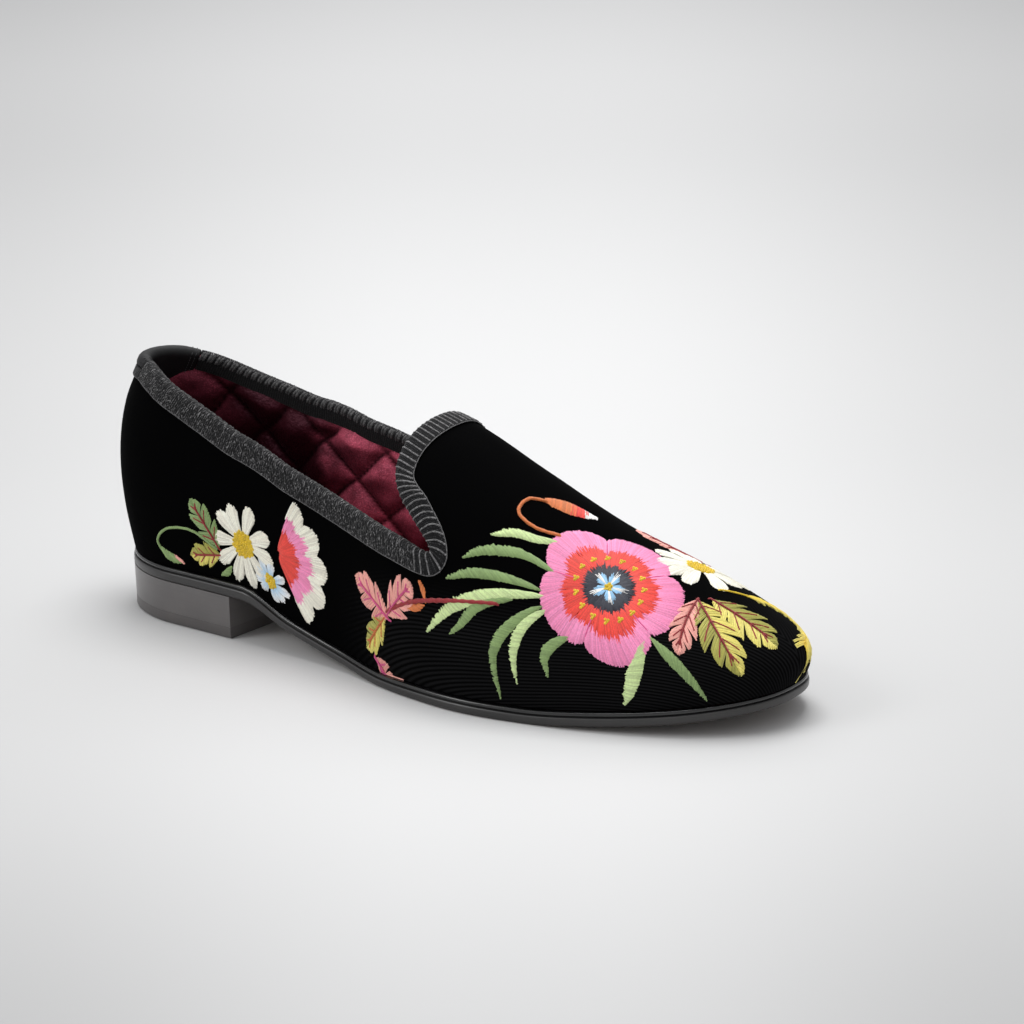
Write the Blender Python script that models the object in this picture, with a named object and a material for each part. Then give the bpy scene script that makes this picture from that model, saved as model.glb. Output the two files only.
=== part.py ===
"""Velvet slipper loafer, the right shoe, as an assembly of closed solids.

The shoe lies along X, heel to toe, with its inner side at +Y and the floor at Z = 0. The origin is the
centre of the heel's bottom face. Every length is in metres. The upper, its bindings, the welt, the
outsole, the insole and the heel all take their outline from one feather line, the closed curve where
the upper meets the sole.
"""
import math

import bmesh
import bpy
import numpy as np

# Sizes of the last
LAST_LENGTH = 0.275          # feather line, back of the heel to tip of the toe
BALL_WIDTH = 0.0875          # feather line, across the ball
INSTEP_HEIGHT = 0.083        # crown of the upper over its feather line, at the tongue
HEEL_LIFT = 0.016            # floor to the outsole's underside, at the front of the heel
TOE_SPRING = 0.009           # floor to the outsole's underside, at the tip of the toe
TOE_SWING = 0.0125           # how far the toe's centre line turns to the inner side
HEEL_ROUND = 0.034           # length over which the plan closes behind the heel
TOE_ROUND = 0.065            # length over which the plan closes at the toe
TOE_PLAN_POWER = 2.4         # bluntness of the toe, seen from above
CROWN_ROUND = 0.040          # length over which the crown drops at the toe
CROWN_POWER = 2.8            # bluntness of the toe, seen from the side
SIDE_BULGE = 0.07            # swell of the upper's sides over the feather line, as a share of width
BACK_BULGE = 0.0066          # how far the back of the upper stands behind the feather line
BACK_REACH = 0.124           # length over which the back's curve fades forward
TOE_BULGE = 0.0026           # how far the toe of the upper stands before the feather line
TOE_REACH = 0.070            # length over which the toe's curve fades backward
BACK_HEIGHT = 0.075          # feather line to top edge, at the back seam
TOE_HEIGHT = 0.028           # height of the toe's front wall

# Sizes of the pieces
WALL = 0.0025                # upper: velvet, stiffening and quilted lining
WELT_HEIGHT = 0.0016
WELT_MARGIN = 0.0024         # outsole's edge outside the feather line, at the ball
WELT_SETBACK = 0.0003        # welt's rounded edge inside the outsole's edge
WELT_ROUND = 0.0005          # size of the bevels that round the welt's edge
OUTSOLE_THICKNESS = 0.0030
EDGE_BEVEL = 0.0007          # small bevel round the outsole's and the heel's bottom edges
INSOLE_RISE = 0.0034         # insole's top over the seat of the upper
INSOLE_ROUND = 0.0010
HEEL_LENGTH = 0.065          # back of the heel to its front, along the middle
BREAST_SKEW = 0.06           # how far the heel's front leans forward on the inner side, per unit of width
HEEL_TAPER = 0.0004          # how far the heel narrows down to the floor, each side
RIBBON_WIDTH = 0.0066        # outer leg of the ribbon that binds the top edge
RIBBON_INNER = 0.0060        # inner leg of the ribbon
RIBBON_THICKNESS = 0.0008
TAB_LENGTH = 0.041           # leather tab round the back, along the top edge
TAB_THICKNESS = 0.0012
TAB_OUTER = 0.0022           # tab below the top edge, outside
TAB_INNER = 0.0120           # tab below the top edge, inside
GAP = 0.0003                 # air left between pieces that touch

# How finely the curved pieces are cut
COLUMNS_PER_STEP = 3         # columns of the upper between two rows of the topline table
COLUMN_HANDLE = 0.36         # how far a column runs straight at its ends, as a share of its length
COLUMN_SAMPLES = 160         # places at which a column is measured, close together at its foot
SIDE_ROWS = 9                # rows of the upper from the ribbon's edge to the feather line
ROW_CROWDING = 1.6           # how much closer those rows stand above the feather line
HEEL_COLUMNS = 16            # stations along each side of the heel
FRONT_ROUNDS = 6             # rounds in which the ends of the heel's front face are found
END_ROOM = 0.0012            # the last column before a strip's cut end keeps this far from it
SMOOTH_ANGLE = math.radians(40)   # edges sharper than this stay sharp

# Domain in which the upper's side is unrolled
DOMAIN_ROUND = 0.19          # how much the back of the heel unrolls, as a share of length
DOMAIN_GIRTH = 0.115         # girth from crown to feather line that one unit of the domain stands for
NOSE_POWER = 2.5             # how the domain narrows towards the toe
SMALL_STEP = 1e-5            # step of station over which a direction is measured
LATERAL = -1.0
MEDIAL = 1.0


class Table:
    """Rows of numbers under named columns, read between rows by a smooth curve without overshoot."""

    def __init__(self, names, rows):
        self.names = names.split()
        self.rows = np.array(rows, dtype=float)

    def column(self, name):
        """Return one column as an array."""
        return self.rows[:, self.names.index(name)]

    def read(self, name, at):
        """Return the named column at the given places of the first column."""
        places = self.rows[:, 0]
        values = self.column(name)
        at = np.clip(at, places[0], places[-1])
        steps = np.diff(places)
        rises = np.diff(values) / steps
        slopes = np.empty(len(places))
        slopes[0] = rises[0]
        slopes[-1] = rises[-1]
        before, after = rises[:-1], rises[1:]
        weights = before * steps[1:] + after * steps[:-1]
        mean = weights / (steps[1:] + steps[:-1])
        slopes[1:-1] = np.where(before * after <= 0.0, 0.0, mean)
        limit = 3.0 * np.minimum(np.abs(before), np.abs(after))
        slopes[1:-1] = np.clip(slopes[1:-1], -limit, limit)
        cell = np.clip(np.searchsorted(places, at, side="right") - 1, 0, len(places) - 2)
        t = (at - places[cell]) / steps[cell]
        low = values[cell] * (1 + 2 * t) * (1 - t) ** 2 + values[cell + 1] * t * t * (3 - 2 * t)
        return low + steps[cell] * t * (1 - t) * ((1 - t) * slopes[cell] - t * slopes[cell + 1])


# Half widths of the feather line, as shares of the ball width
PLAN = Table("station lateral medial", [
    (0.00, 0.320, 0.322),
    (0.14, 0.316, 0.320),
    (0.28, 0.331, 0.309),
    (0.42, 0.383, 0.291),
    (0.55, 0.500, 0.343),
    (0.65, 0.545, 0.429),
    (0.75, 0.514, 0.486),
    (0.85, 0.457, 0.474),
    (0.93, 0.423, 0.429),
    (1.00, 0.406, 0.406),
])

# Underside of the outsole over the floor: shares of the heel's lift and of the toe spring
TREAD = Table("station heel spring", [
    (-0.02, 1.03, 0.00),
    (0.12, 1.015, 0.00),
    (0.25, 1.00, 0.00),
    (0.33, 0.55, 0.00),
    (0.42, 0.19, 0.00),
    (0.51, 0.00, 0.00),
    (0.60, 0.00, 0.00),
    (0.72, 0.00, 0.00),
    (0.80, 0.00, 0.15),
    (0.90, 0.00, 0.45),
    (1.02, 0.00, 1.00),
])

# Thickness of the outsole and its margin outside the feather line, as shares of their full sizes
SOLE_EDGE = Table("station thickness margin", [
    (-0.02, 1.15, 0.15),
    (0.06, 1.15, 0.35),
    (0.12, 1.15, 0.65),
    (0.24, 1.15, 0.95),
    (0.34, 0.85, 0.85),
    (0.50, 0.90, 0.90),
    (0.65, 1.00, 1.00),
    (0.90, 1.00, 0.85),
    (1.02, 1.00, 0.15),
])

# Sections of the upper: crown height as a share of the instep height, and squareness of the section
SECTIONS = Table("station crown squareness", [
    (0.00, 1.060, 2.25),
    (0.15, 1.108, 2.30),
    (0.30, 1.123, 2.42),
    (0.42, 1.066, 2.52),
    (0.52, 0.990, 2.50),
    (0.62, 0.822, 2.22),
    (0.72, 0.646, 2.03),
    (0.82, 0.490, 2.02),
    (0.90, 0.376, 2.08),
    (0.96, 0.302, 2.14),
    (1.00, 0.262, 2.18),
])

# Curve of the back seam: height as a share of the back, push as a share of the back's bulge
BACK_CURVE = Table("height push", [
    (0.00, 0.00),
    (0.20, 0.64),
    (0.47, 1.00),
    (0.73, 0.62),
    (1.00, -0.66),
    (1.30, -1.60),
])

# Curve of the toe's front wall: height as a share of the toe, push as a share of the toe's bulge
TOE_CURVE = Table("height push", [
    (0.00, 0.00),
    (0.18, 0.70),
    (0.40, 1.00),
    (0.70, 0.80),
    (1.00, 0.40),
    (1.60, 0.00),
])

# Top edge from the back seam round the notch to the tongue's peak. The station is a share of the
# length, the drops are shares of the girth from crown to feather line, and the foot is the share of
# the way round the side, heel to toe, at which the upper's column to that row starts.
TOPLINE = Table("row station lateral medial foot", [
    (0, 0.000, 0.420, 0.420, 0.000),
    (1, 0.015, 0.423, 0.428, 0.064),
    (2, 0.050, 0.436, 0.462, 0.118),
    (3, 0.115, 0.515, 0.536, 0.196),
    (4, 0.185, 0.592, 0.590, 0.258),
    (5, 0.250, 0.646, 0.622, 0.309),
    (6, 0.310, 0.661, 0.610, 0.354),
    (7, 0.375, 0.660, 0.585, 0.402),
    (8, 0.455, 0.657, 0.567, 0.459),
    (9, 0.530, 0.648, 0.570, 0.520),
    (10, 0.571, 0.630, 0.582, 0.570),
    (11, 0.584, 0.596, 0.571, 0.611),
    (12, 0.574, 0.552, 0.538, 0.645),
    (13, 0.547, 0.508, 0.500, 0.682),
    (14, 0.521, 0.464, 0.460, 0.723),
    (15, 0.506, 0.404, 0.402, 0.770),
    (16, 0.501, 0.311, 0.311, 0.823),
    (17, 0.501, 0.208, 0.208, 0.875),
    (18, 0.502, 0.104, 0.104, 0.935),
    (19, 0.502, 0.000, 0.000, 1.000),
])


def round_station(share):
    """Return the station at a share of the way round a side; places crowd together at both ends."""
    return (1.0 - np.cos(math.pi * np.asarray(share))) / 2


def plan_half(station, side):
    """Return the feather line's half width at a station of the last, closed at heel and toe."""
    width = BALL_WIDTH * PLAN.read("lateral" if side < 0 else "medial", station)
    behind = np.clip(1.0 - station * LAST_LENGTH / HEEL_ROUND, 0.0, 1.0)
    ahead = np.clip(1.0 - (1.0 - station) * LAST_LENGTH / TOE_ROUND, 0.0, 1.0)
    heel = np.sqrt(np.clip(1.0 - behind ** 2, 0.0, 1.0))
    toe = np.clip(1.0 - ahead ** TOE_PLAN_POWER, 0.0, 1.0) ** (1.0 / TOE_PLAN_POWER)
    return width * heel * toe


def centre_line(station):
    """Return how far the middle of the section stands to the inner side."""
    return TOE_SWING * np.clip((station - 0.30) / 0.70, 0.0, 1.0) ** 1.6


def along(station):
    """Return X of a station, with the origin over the middle of the heel."""
    return LAST_LENGTH * station - HEEL_LENGTH / 2


def tread_height(x):
    """Return the height of the outsole's underside over the floor."""
    station = (x + HEEL_LENGTH / 2) / LAST_LENGTH
    return HEEL_LIFT * TREAD.read("heel", station) + TOE_SPRING * TREAD.read("spring", station)


def sole_top(x):
    """Return the height of the outsole's upper face."""
    station = (x + HEEL_LENGTH / 2) / LAST_LENGTH
    return tread_height(x) + OUTSOLE_THICKNESS * SOLE_EDGE.read("thickness", station)


def upper_seat(x):
    """Return the height at which the upper stands on the welt."""
    return sole_top(x) + GAP + WELT_HEIGHT + GAP


def feather_line(station, side, outward=0.0):
    """Return X and Y on the feather line, moved outward along its normal in plan."""
    first = np.clip(station - SMALL_STEP, 0.0, 1.0)
    second = np.clip(station + SMALL_STEP, 0.0, 1.0)
    forward = along(second) - along(first)
    turn = centre_line(second) - centre_line(first)
    spread = plan_half(second, side) - plan_half(first, side) + side * turn
    length = np.hypot(forward, spread)
    tip = (station < 1e-9) | (station > 1.0 - 1e-9)
    lean = np.where(tip, 0.0, forward / length)
    push = np.where(tip, np.where(station < 0.5, -1.0, 1.0), -spread / length)
    x = along(station) + outward * push
    y = centre_line(station) + side * (plan_half(station, side) + outward * lean)
    return x, y


def upper_point(station, drop, side):
    """Return points of the upper's outer face; drop runs from 0 at the crown to 1 at the feather line."""
    width = plan_half(station, side)
    power = SECTIONS.read("squareness", station)
    ahead = np.clip(1.0 - (1.0 - station) * LAST_LENGTH / CROWN_ROUND, 0.0, 1.0)
    nose = np.clip(1.0 - ahead ** CROWN_POWER, 0.0, 1.0) ** (1.0 / CROWN_POWER)
    height = INSTEP_HEIGHT * SECTIONS.read("crown", station) * nose
    angle = np.clip((1.0 - drop) * math.pi / 2, 0.0, math.pi / 2)
    across = np.clip(np.cos(angle), 0.0, 1.0) ** (2.0 / power)
    rise = height * np.clip(np.sin(angle), 0.0, 1.0) ** (2.0 / power)
    reach = width * (across + SIDE_BULGE * np.sin(2 * angle))
    fade_back = np.clip(1.0 - station * LAST_LENGTH / BACK_REACH, 0.0, 1.0) ** 2
    fade_toe = np.clip(1.0 - (1.0 - station) * LAST_LENGTH / TOE_REACH, 0.0, 1.0) ** 2
    push = TOE_BULGE * fade_toe * TOE_CURVE.read("push", rise / TOE_HEIGHT)
    push = push - BACK_BULGE * fade_back * BACK_CURVE.read("push", rise / BACK_HEIGHT)
    x = along(station)
    y = centre_line(station) + side * reach
    return np.stack([x + push, y, upper_seat(x) + rise], axis=-1)


def to_domain(station, drop):
    """Unroll a place of the upper: lengths along the shoe and down its side, in metres."""
    down = drop * np.sqrt(np.clip(1.0 - station ** NOSE_POWER, 0.0, 1.0))
    length = LAST_LENGTH * np.sqrt(station ** 2 + DOMAIN_ROUND * station)
    return np.stack([length, DOMAIN_GIRTH * down], axis=-1)


def from_domain(places, side):
    """Return the points of the upper's outer face at unrolled places."""
    length = np.clip(places[..., 0], 0.0, None) / LAST_LENGTH
    station = (np.sqrt(DOMAIN_ROUND ** 2 + 4 * length ** 2) - DOMAIN_ROUND) / 2
    station = np.clip(station, 0.0, 1.0)
    room = np.sqrt(np.clip(1.0 - station ** NOSE_POWER, 1e-12, 1.0))
    drop = np.clip(places[..., 1] / DOMAIN_GIRTH / room, 0.0, 1.0)
    return upper_point(station, drop, side)


def unit(vectors):
    """Return the vectors at length one."""
    return vectors / np.maximum(np.linalg.norm(vectors, axis=-1, keepdims=True), 1e-12)


def topline_curve(side):
    """Return the unrolled top edge of one side with the directions that point into the upper."""
    name = "lateral" if side < 0 else "medial"
    knots = to_domain(TOPLINE.column("station"), TOPLINE.column(name))
    before = knots[1] * (-1.0, 1.0)
    after = knots[-2] * (1.0, -1.0)
    padded = np.vstack([before, knots, after])
    places, tangents = [], []
    for row in range(len(knots) - 1):
        for part in range(COLUMNS_PER_STEP):
            t = part / COLUMNS_PER_STEP
            p0, p1, p2, p3 = padded[row:row + 4]
            m1, m2 = (p2 - p0) / 2, (p3 - p1) / 2
            place = (2 * t ** 3 - 3 * t * t + 1) * p1 + (t ** 3 - 2 * t * t + t) * m1
            places.append(place + (3 * t * t - 2 * t ** 3) * p2 + (t ** 3 - t * t) * m2)
            slope = (6 * t * t - 6 * t) * (p1 - p2) + (3 * t * t - 4 * t + 1) * m1 + (3 * t * t - 2 * t) * m2
            tangents.append(slope)
    places.append(knots[-1])
    tangents.append((0.0, -1.0))
    tangents = unit(np.array(tangents))
    outward = np.stack([-tangents[:, 1], tangents[:, 0]], axis=-1)
    outward[0] = (0.0, 1.0)
    outward[-1] = (1.0, 0.0)
    return np.array(places), outward


def side_columns(side):
    """Return the upper's columns on one side, back seam to toe tip, and the foot of its inner face.

    Each column runs from the top edge down to the feather line.
    """
    places, outward = topline_curve(side)
    starts = side_stations()
    feet = to_domain(starts, np.ones_like(starts))
    ahead = to_domain(np.clip(starts + SMALL_STEP, 0, 1), np.ones_like(starts))
    behind = to_domain(np.clip(starts - SMALL_STEP, 0, 1), np.ones_like(starts))
    run = unit(ahead - behind)
    inward = np.stack([run[:, 1], -run[:, 0]], axis=-1)
    inward[0] = (0.0, -1.0)
    inward[-1] = (-1.0, 0.0)
    fine = 1.0 - np.linspace(1.0, 0.0, COLUMN_SAMPLES)[:, None] ** 3
    lower = 1.0 - np.linspace(1.0, 0.0, SIDE_ROWS + 1) ** ROW_CROWDING
    columns = []
    for place, out, foot, back in zip(places, outward, feet, inward):
        handle = COLUMN_HANDLE * np.linalg.norm(place - foot)
        upper_part = (1 - fine) ** 3 * place + 3 * fine * (1 - fine) ** 2 * (place + handle * out)
        lower_part = 3 * fine ** 2 * (1 - fine) * (foot + handle * back) + fine ** 3 * foot
        points = from_domain(upper_part + lower_part, side)
        points[-1] = upper_point(station_of(foot), np.array(1.0), side)
        depth = np.concatenate([[0.0], np.cumsum(np.linalg.norm(np.diff(points, axis=0), axis=-1))])
        below = RIBBON_WIDTH + (depth[-1] - RIBBON_WIDTH) * lower
        rows = np.concatenate([[0.0, RIBBON_WIDTH / 2], below])
        columns.append(np.stack([np.interp(rows, depth, points[:, axis]) for axis in range(3)], axis=-1))
    rim_x, rim_y = feather_line(starts, side, -WALL)
    return np.array(columns), np.stack([rim_x, rim_y, upper_seat(rim_x)], axis=-1)


def station_of(place):
    """Return the station of an unrolled place."""
    length = place[0] / LAST_LENGTH
    return np.clip((np.sqrt(DOMAIN_ROUND ** 2 + 4 * length ** 2) - DOMAIN_ROUND) / 2, 0.0, 1.0)


class UpperGrid:
    """Ring of columns over the upper's outer face, with its normals and its inner face."""

    def __init__(self):
        lateral, lateral_rim = side_columns(LATERAL)
        medial, medial_rim = side_columns(MEDIAL)
        seam = lateral[0]
        tip = lateral[-1]
        self.half = len(lateral) - 1
        self.outer = np.concatenate([[seam], lateral[1:-1], [tip], medial[-2:0:-1]])
        around = np.roll(self.outer, -1, axis=0) - np.roll(self.outer, 1, axis=0)
        down = np.gradient(self.outer, axis=1)
        self.normal = unit(np.cross(down, around))
        self.normal[:, -1, 2] = 0.0
        self.normal = unit(self.normal)
        self.inner = self.outer - WALL * self.normal
        self.inner[:, -1] = np.concatenate([lateral_rim, medial_rim[-2:0:-1]])
        steps = np.linalg.norm(np.diff(self.outer, axis=1), axis=-1)
        self.depth = np.concatenate([np.zeros((len(steps), 1)), np.cumsum(steps, axis=1)], axis=1)
        top = np.roll(self.outer[:, 0], -1, axis=0) - self.outer[:, 0]
        self.arc = np.concatenate([[0.0], np.cumsum(np.linalg.norm(top, axis=-1))])

    def at(self, column, depth):
        """Return point, normal and thickness-wide inner point at a fractional column and a depth."""
        count = len(self.outer)
        low = int(math.floor(column)) % count
        share = column - math.floor(column)
        found = []
        for index in (low, (low + 1) % count):
            line = self.depth[index]
            found.append([[np.interp(depth, line, grid[index, :, axis]) for axis in range(3)]
                          for grid in (self.outer, self.normal, self.inner)])
        outer, normal, inner = (1 - share) * np.array(found[0]) + share * np.array(found[1])
        return outer, unit(normal), inner

    def column_at(self, length):
        """Return the fractional column at a length along the top edge from the back seam."""
        return float(np.interp(length % self.arc[-1], self.arc, np.arange(len(self.arc))))


def folded_section(grid, column, outer_leg, inner_leg, thickness):
    """Return one closed section of a strip that is folded over the top edge."""
    edge, edge_normal, edge_inner = grid.at(column, 0.0)
    below = grid.at(column, RIBBON_WIDTH / 2)[0]
    up = unit(edge - below)
    up = unit(up - edge_normal * np.dot(up, edge_normal))
    near, far = GAP, GAP + thickness
    middle = (edge + edge_inner) / 2
    radius = np.linalg.norm(edge - edge_inner) / 2 + far
    section = []
    for share in (1.0, 0.5):
        point, normal, _ = grid.at(column, outer_leg * share)
        section.append(point + far * normal)
    for angle in np.radians([0, 45, 90, 135, 180]):
        lift = up * (math.sin(angle) * radius)
        section.append(middle + edge_normal * (math.cos(angle) * radius) + lift)
    _, normal, point = grid.at(column, inner_leg)
    section.append(point - far * normal)
    section.append(point - near * normal)
    section.append(edge_inner - near * edge_normal + near * up)
    section.append(edge + near * edge_normal + near * up)
    point, normal, _ = grid.at(column, outer_leg)
    section.append(point + near * normal)
    return np.array(section)


def flat_section(grid, column, top, bottom):
    """Return one closed section of a strip that lies flat on the outer face."""
    section = []
    for lift in (GAP + RIBBON_THICKNESS, GAP):
        levels = (bottom, (top + bottom) / 2, top)
        for depth in (levels if lift > GAP else reversed(levels)):
            point, normal, _ = grid.at(column, depth)
            section.append(point + lift * normal)
    return np.array(section)


def make_material(name, colour, roughness, metallic=0.0):
    """Return a Principled material."""
    material = bpy.data.materials.new(name)
    material.use_nodes = True
    shader = material.node_tree.nodes["Principled BSDF"]
    shader.inputs["Base Color"].default_value = (*colour, 1.0)
    shader.inputs["Roughness"].default_value = roughness
    shader.inputs["Metallic"].default_value = metallic
    return material


def make_solid(name, points, faces, material):
    """Make one named object from points and faces, with its faces turned outward."""
    shape = bmesh.new()
    corners = [shape.verts.new(point) for point in points]
    for face in faces:
        shape.faces.new([corners[index] for index in face])
    bmesh.ops.recalc_face_normals(shape, faces=shape.faces)
    bmesh.ops.triangulate(shape, faces=shape.faces)
    mesh = bpy.data.meshes.new(name)
    shape.to_mesh(mesh)
    shape.free()
    mesh.materials.append(material)
    mesh.shade_smooth()
    mesh.set_sharp_from_angle(angle=SMOOTH_ANGLE)
    piece = bpy.data.objects.new(name, mesh)
    bpy.context.scene.collection.objects.link(piece)
    return piece


def sweep(name, sections, material, closed=True):
    """Make a solid through a run of closed sections, as a ring or with an end cap at each end."""
    sections = np.asarray(sections)
    count, size = sections.shape[:2]
    faces = []
    for column in range(count if closed else count - 1):
        for row in range(size):
            a = column * size + row
            b = column * size + (row + 1) % size
            c = (column + 1) % count * size
            faces.append((a, b, c + (row + 1) % size, c + row))
    if not closed:
        faces.append(tuple(range(size)))
        faces.append(tuple(range((count - 1) * size, count * size)))
    return make_solid(name, sections.reshape(-1, 3), faces, material)


def slab(name, rings, material):
    """Make a solid from rings, lowest first. Each ring runs up one side and back down the other."""
    rings = np.asarray(rings)
    count = rings.shape[1]
    faces = []
    for level in range(len(rings) - 1):
        for column in range(count):
            a = level * count + column
            b = level * count + (column + 1) % count
            faces.append((a, b, b + count, a + count))
    for base in (0, (len(rings) - 1) * count):
        near, far = 0, 1
        while near + 1 < count - far:
            corners = [base + near, base + near + 1, base + (count - far) % count, base + (1 - far) % count]
            faces.append(tuple(dict.fromkeys(corners)))
            near, far = near + 1, far + 1
        if near + 1 == count - far:
            faces.append((base + near, base + near + 1, base + (1 - far) % count))
    return make_solid(name, rings.reshape(-1, 3), faces, material)


def side_stations():
    """Return the stations at which every piece round the feather line is cut, heel to toe."""
    rows = np.linspace(0.0, len(TOPLINE.rows) - 1.0, (len(TOPLINE.rows) - 1) * COLUMNS_PER_STEP + 1)
    return round_station(TOPLINE.read("foot", rows))


def sole_ring(stations, outward, height):
    """Return a closed ring round the feather line, with its margin and its height given by functions."""
    points = []
    for side, run in ((LATERAL, stations), (MEDIAL, stations[-2:0:-1])):
        x, y = feather_line(run, side, outward(run))
        points.append(np.stack([x, y, height(x)], axis=-1))
    return np.concatenate(points)


def sole_margin(station):
    """Return how far the outsole stands outside the feather line."""
    return WELT_MARGIN * SOLE_EDGE.read("margin", station)


def build_upper(grid, material):
    """Make the velvet upper, a hollow wall that is open at the collar and underneath."""
    sections = np.concatenate([grid.outer, grid.inner[:, ::-1]], axis=1)
    return sweep("upper", sections, material)


def build_bindings(grid, ribbon, leather):
    """Make the ribbon round the top edge, its stretch behind the tab, and the leather heel tab."""
    count = len(grid.outer)
    girth = grid.arc[-1]
    reach = TAB_LENGTH / 2
    first = grid.column_at(reach + GAP / 2)
    last = grid.column_at(girth - reach - GAP / 2)
    front = [column for column in range(count)
             if reach + END_ROOM < grid.arc[column] < girth - reach - END_ROOM]
    sections = [folded_section(grid, column, RIBBON_WIDTH, RIBBON_INNER, RIBBON_THICKNESS)
                for column in [first, *front, last]]
    sweep("topline_binding", sections, ribbon, closed=False)
    left = grid.column_at(girth - reach + GAP / 2) - count
    right = grid.column_at(reach - GAP / 2)
    back = [column for column in range(-count // 2, count // 2)
            if min(grid.arc[column % count], girth - grid.arc[column % count]) < reach - END_ROOM]
    stretch = [left, *back, right]
    sections = [folded_section(grid, column, TAB_OUTER, TAB_INNER, TAB_THICKNESS) for column in stretch]
    sweep("heel_tab", sections, leather, closed=False)
    sections = [flat_section(grid, column, TAB_OUTER + GAP, RIBBON_WIDTH) for column in stretch]
    sweep("back_binding", sections, ribbon, closed=False)


def build_welt(material):
    """Make the rounded welt between the outsole's margin and the upper."""
    stations = side_stations()
    profile = [
        (WELT_ROUND, 0.0),
        (0.0, WELT_ROUND),
        (0.0, WELT_HEIGHT - WELT_ROUND),
        (WELT_ROUND, WELT_HEIGHT),
    ]
    rings = [sole_ring(stations, lambda s: 0.0 * s - WALL, lambda x: sole_top(x) + GAP)]
    for inset, rise in profile:
        rings.append(sole_ring(stations, lambda s: sole_margin(s) - WELT_SETBACK - inset,
                               lambda x: sole_top(x) + GAP + rise))
    rings.append(sole_ring(stations, lambda s: 0.0 * s - WALL, lambda x: sole_top(x) + GAP + WELT_HEIGHT))
    return sweep("welt", np.stack(rings, axis=1), material)


def build_outsole(material):
    """Make the outsole, flat across, with a bevelled bottom edge."""
    stations = side_stations()
    rings = [
        sole_ring(stations, lambda s: sole_margin(s) - EDGE_BEVEL, tread_height),
        sole_ring(stations, sole_margin, lambda x: tread_height(x) + EDGE_BEVEL),
        sole_ring(stations, sole_margin, sole_top),
    ]
    return slab("outsole", rings, material)


def build_insole(material):
    """Make the insole, which fills the sole inside the welt and the upper."""
    stations = side_stations()
    edge = -WALL - GAP
    shoulder = INSOLE_RISE - INSOLE_ROUND
    rings = [
        sole_ring(stations, lambda s: 0.0 * s + edge, lambda x: sole_top(x) + GAP),
        sole_ring(stations, lambda s: 0.0 * s + edge, lambda x: upper_seat(x) + shoulder),
        sole_ring(stations, lambda s: 0.0 * s + edge - INSOLE_ROUND, lambda x: upper_seat(x) + INSOLE_RISE),
    ]
    return slab("insole", rings, material)


def heel_ring(inset, height):
    """Return a ring of the heel: up the outer side from the back, then back along the inner side."""
    shares = 1.0 - np.cos(np.linspace(0.0, math.pi / 2, HEEL_COLUMNS + 1))
    points = []
    for side in (LATERAL, MEDIAL):
        end = HEEL_LENGTH / LAST_LENGTH
        for _ in range(FRONT_ROUNDS):
            x, y = feather_line(np.array([end]), side, sole_margin(np.array([end])) - inset)
            end = end + (HEEL_LENGTH / 2 + BREAST_SKEW * y[0] - x[0]) / LAST_LENGTH
        stations = end * shares
        x, y = feather_line(stations, side, sole_margin(stations) - inset)
        line = np.stack([x, y, height(x)], axis=-1)
        points.append(line if side < 0 else line[:0:-1])
    return np.concatenate(points)


def build_heel(material):
    """Make the stacked heel block, with its flat front and flat bottom."""
    rings = [
        heel_ring(HEEL_TAPER + EDGE_BEVEL, lambda x: 0.0 * x),
        heel_ring(HEEL_TAPER, lambda x: 0.0 * x + EDGE_BEVEL),
        heel_ring(0.0, lambda x: tread_height(x) - GAP),
    ]
    return slab("heel", rings, material)


def main():
    """Clear the scene and build every piece."""
    for leftover in list(bpy.data.objects):
        bpy.data.objects.remove(leftover)
    velvet = make_material("velvet", (0.006, 0.006, 0.007), 0.9)
    grosgrain = make_material("grosgrain", (0.045, 0.045, 0.05), 0.85)
    leather = make_material("black_leather", (0.02, 0.02, 0.021), 0.4)
    edge_black = make_material("edge_black", (0.03, 0.029, 0.03), 0.35)
    lining = make_material("lining_satin", (0.11, 0.01, 0.03), 0.45)
    grid = UpperGrid()
    build_upper(grid, velvet)
    build_bindings(grid, grosgrain, leather)
    build_welt(leather)
    build_outsole(edge_black)
    build_insole(lining)
    build_heel(edge_black)


main()
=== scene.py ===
"""Finishes of an embroidered velvet slipper loafer, the right shoe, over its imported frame.

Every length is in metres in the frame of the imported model, except in the embroidery, where hoops and
needle count in millimetres. The upper's surface is worked out from the same rules as the solids, on a
finer grid. The pieces that lie on it, such as the lining, the ribbon, its ribs and the embroidery, are
placed by lengths along that surface.
"""
from __future__ import annotations

import logging
import math
from dataclasses import dataclass, field
from enum import Enum
from typing import Callable, Sequence

import bmesh
import bpy
import numpy as np
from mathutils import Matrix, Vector

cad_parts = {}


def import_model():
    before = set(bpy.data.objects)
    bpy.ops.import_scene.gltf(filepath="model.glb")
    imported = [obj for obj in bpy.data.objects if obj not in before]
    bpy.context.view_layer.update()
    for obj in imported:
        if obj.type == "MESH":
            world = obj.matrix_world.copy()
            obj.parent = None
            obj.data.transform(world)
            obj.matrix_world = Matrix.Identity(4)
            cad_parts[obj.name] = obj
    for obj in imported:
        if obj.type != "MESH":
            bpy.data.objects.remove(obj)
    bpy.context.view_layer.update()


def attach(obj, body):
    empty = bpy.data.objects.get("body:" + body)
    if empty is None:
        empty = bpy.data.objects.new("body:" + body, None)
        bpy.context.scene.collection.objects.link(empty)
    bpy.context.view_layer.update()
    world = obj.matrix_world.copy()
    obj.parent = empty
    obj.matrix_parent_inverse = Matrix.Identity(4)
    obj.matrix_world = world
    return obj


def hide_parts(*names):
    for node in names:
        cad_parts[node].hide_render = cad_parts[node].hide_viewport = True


LOG = logging.getLogger("slipper")
Array = np.ndarray
Colour = tuple[float, float, float]
Place = tuple[float, float]
BODY = "root"
GAP = 0.0003
MM = 0.001
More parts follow.
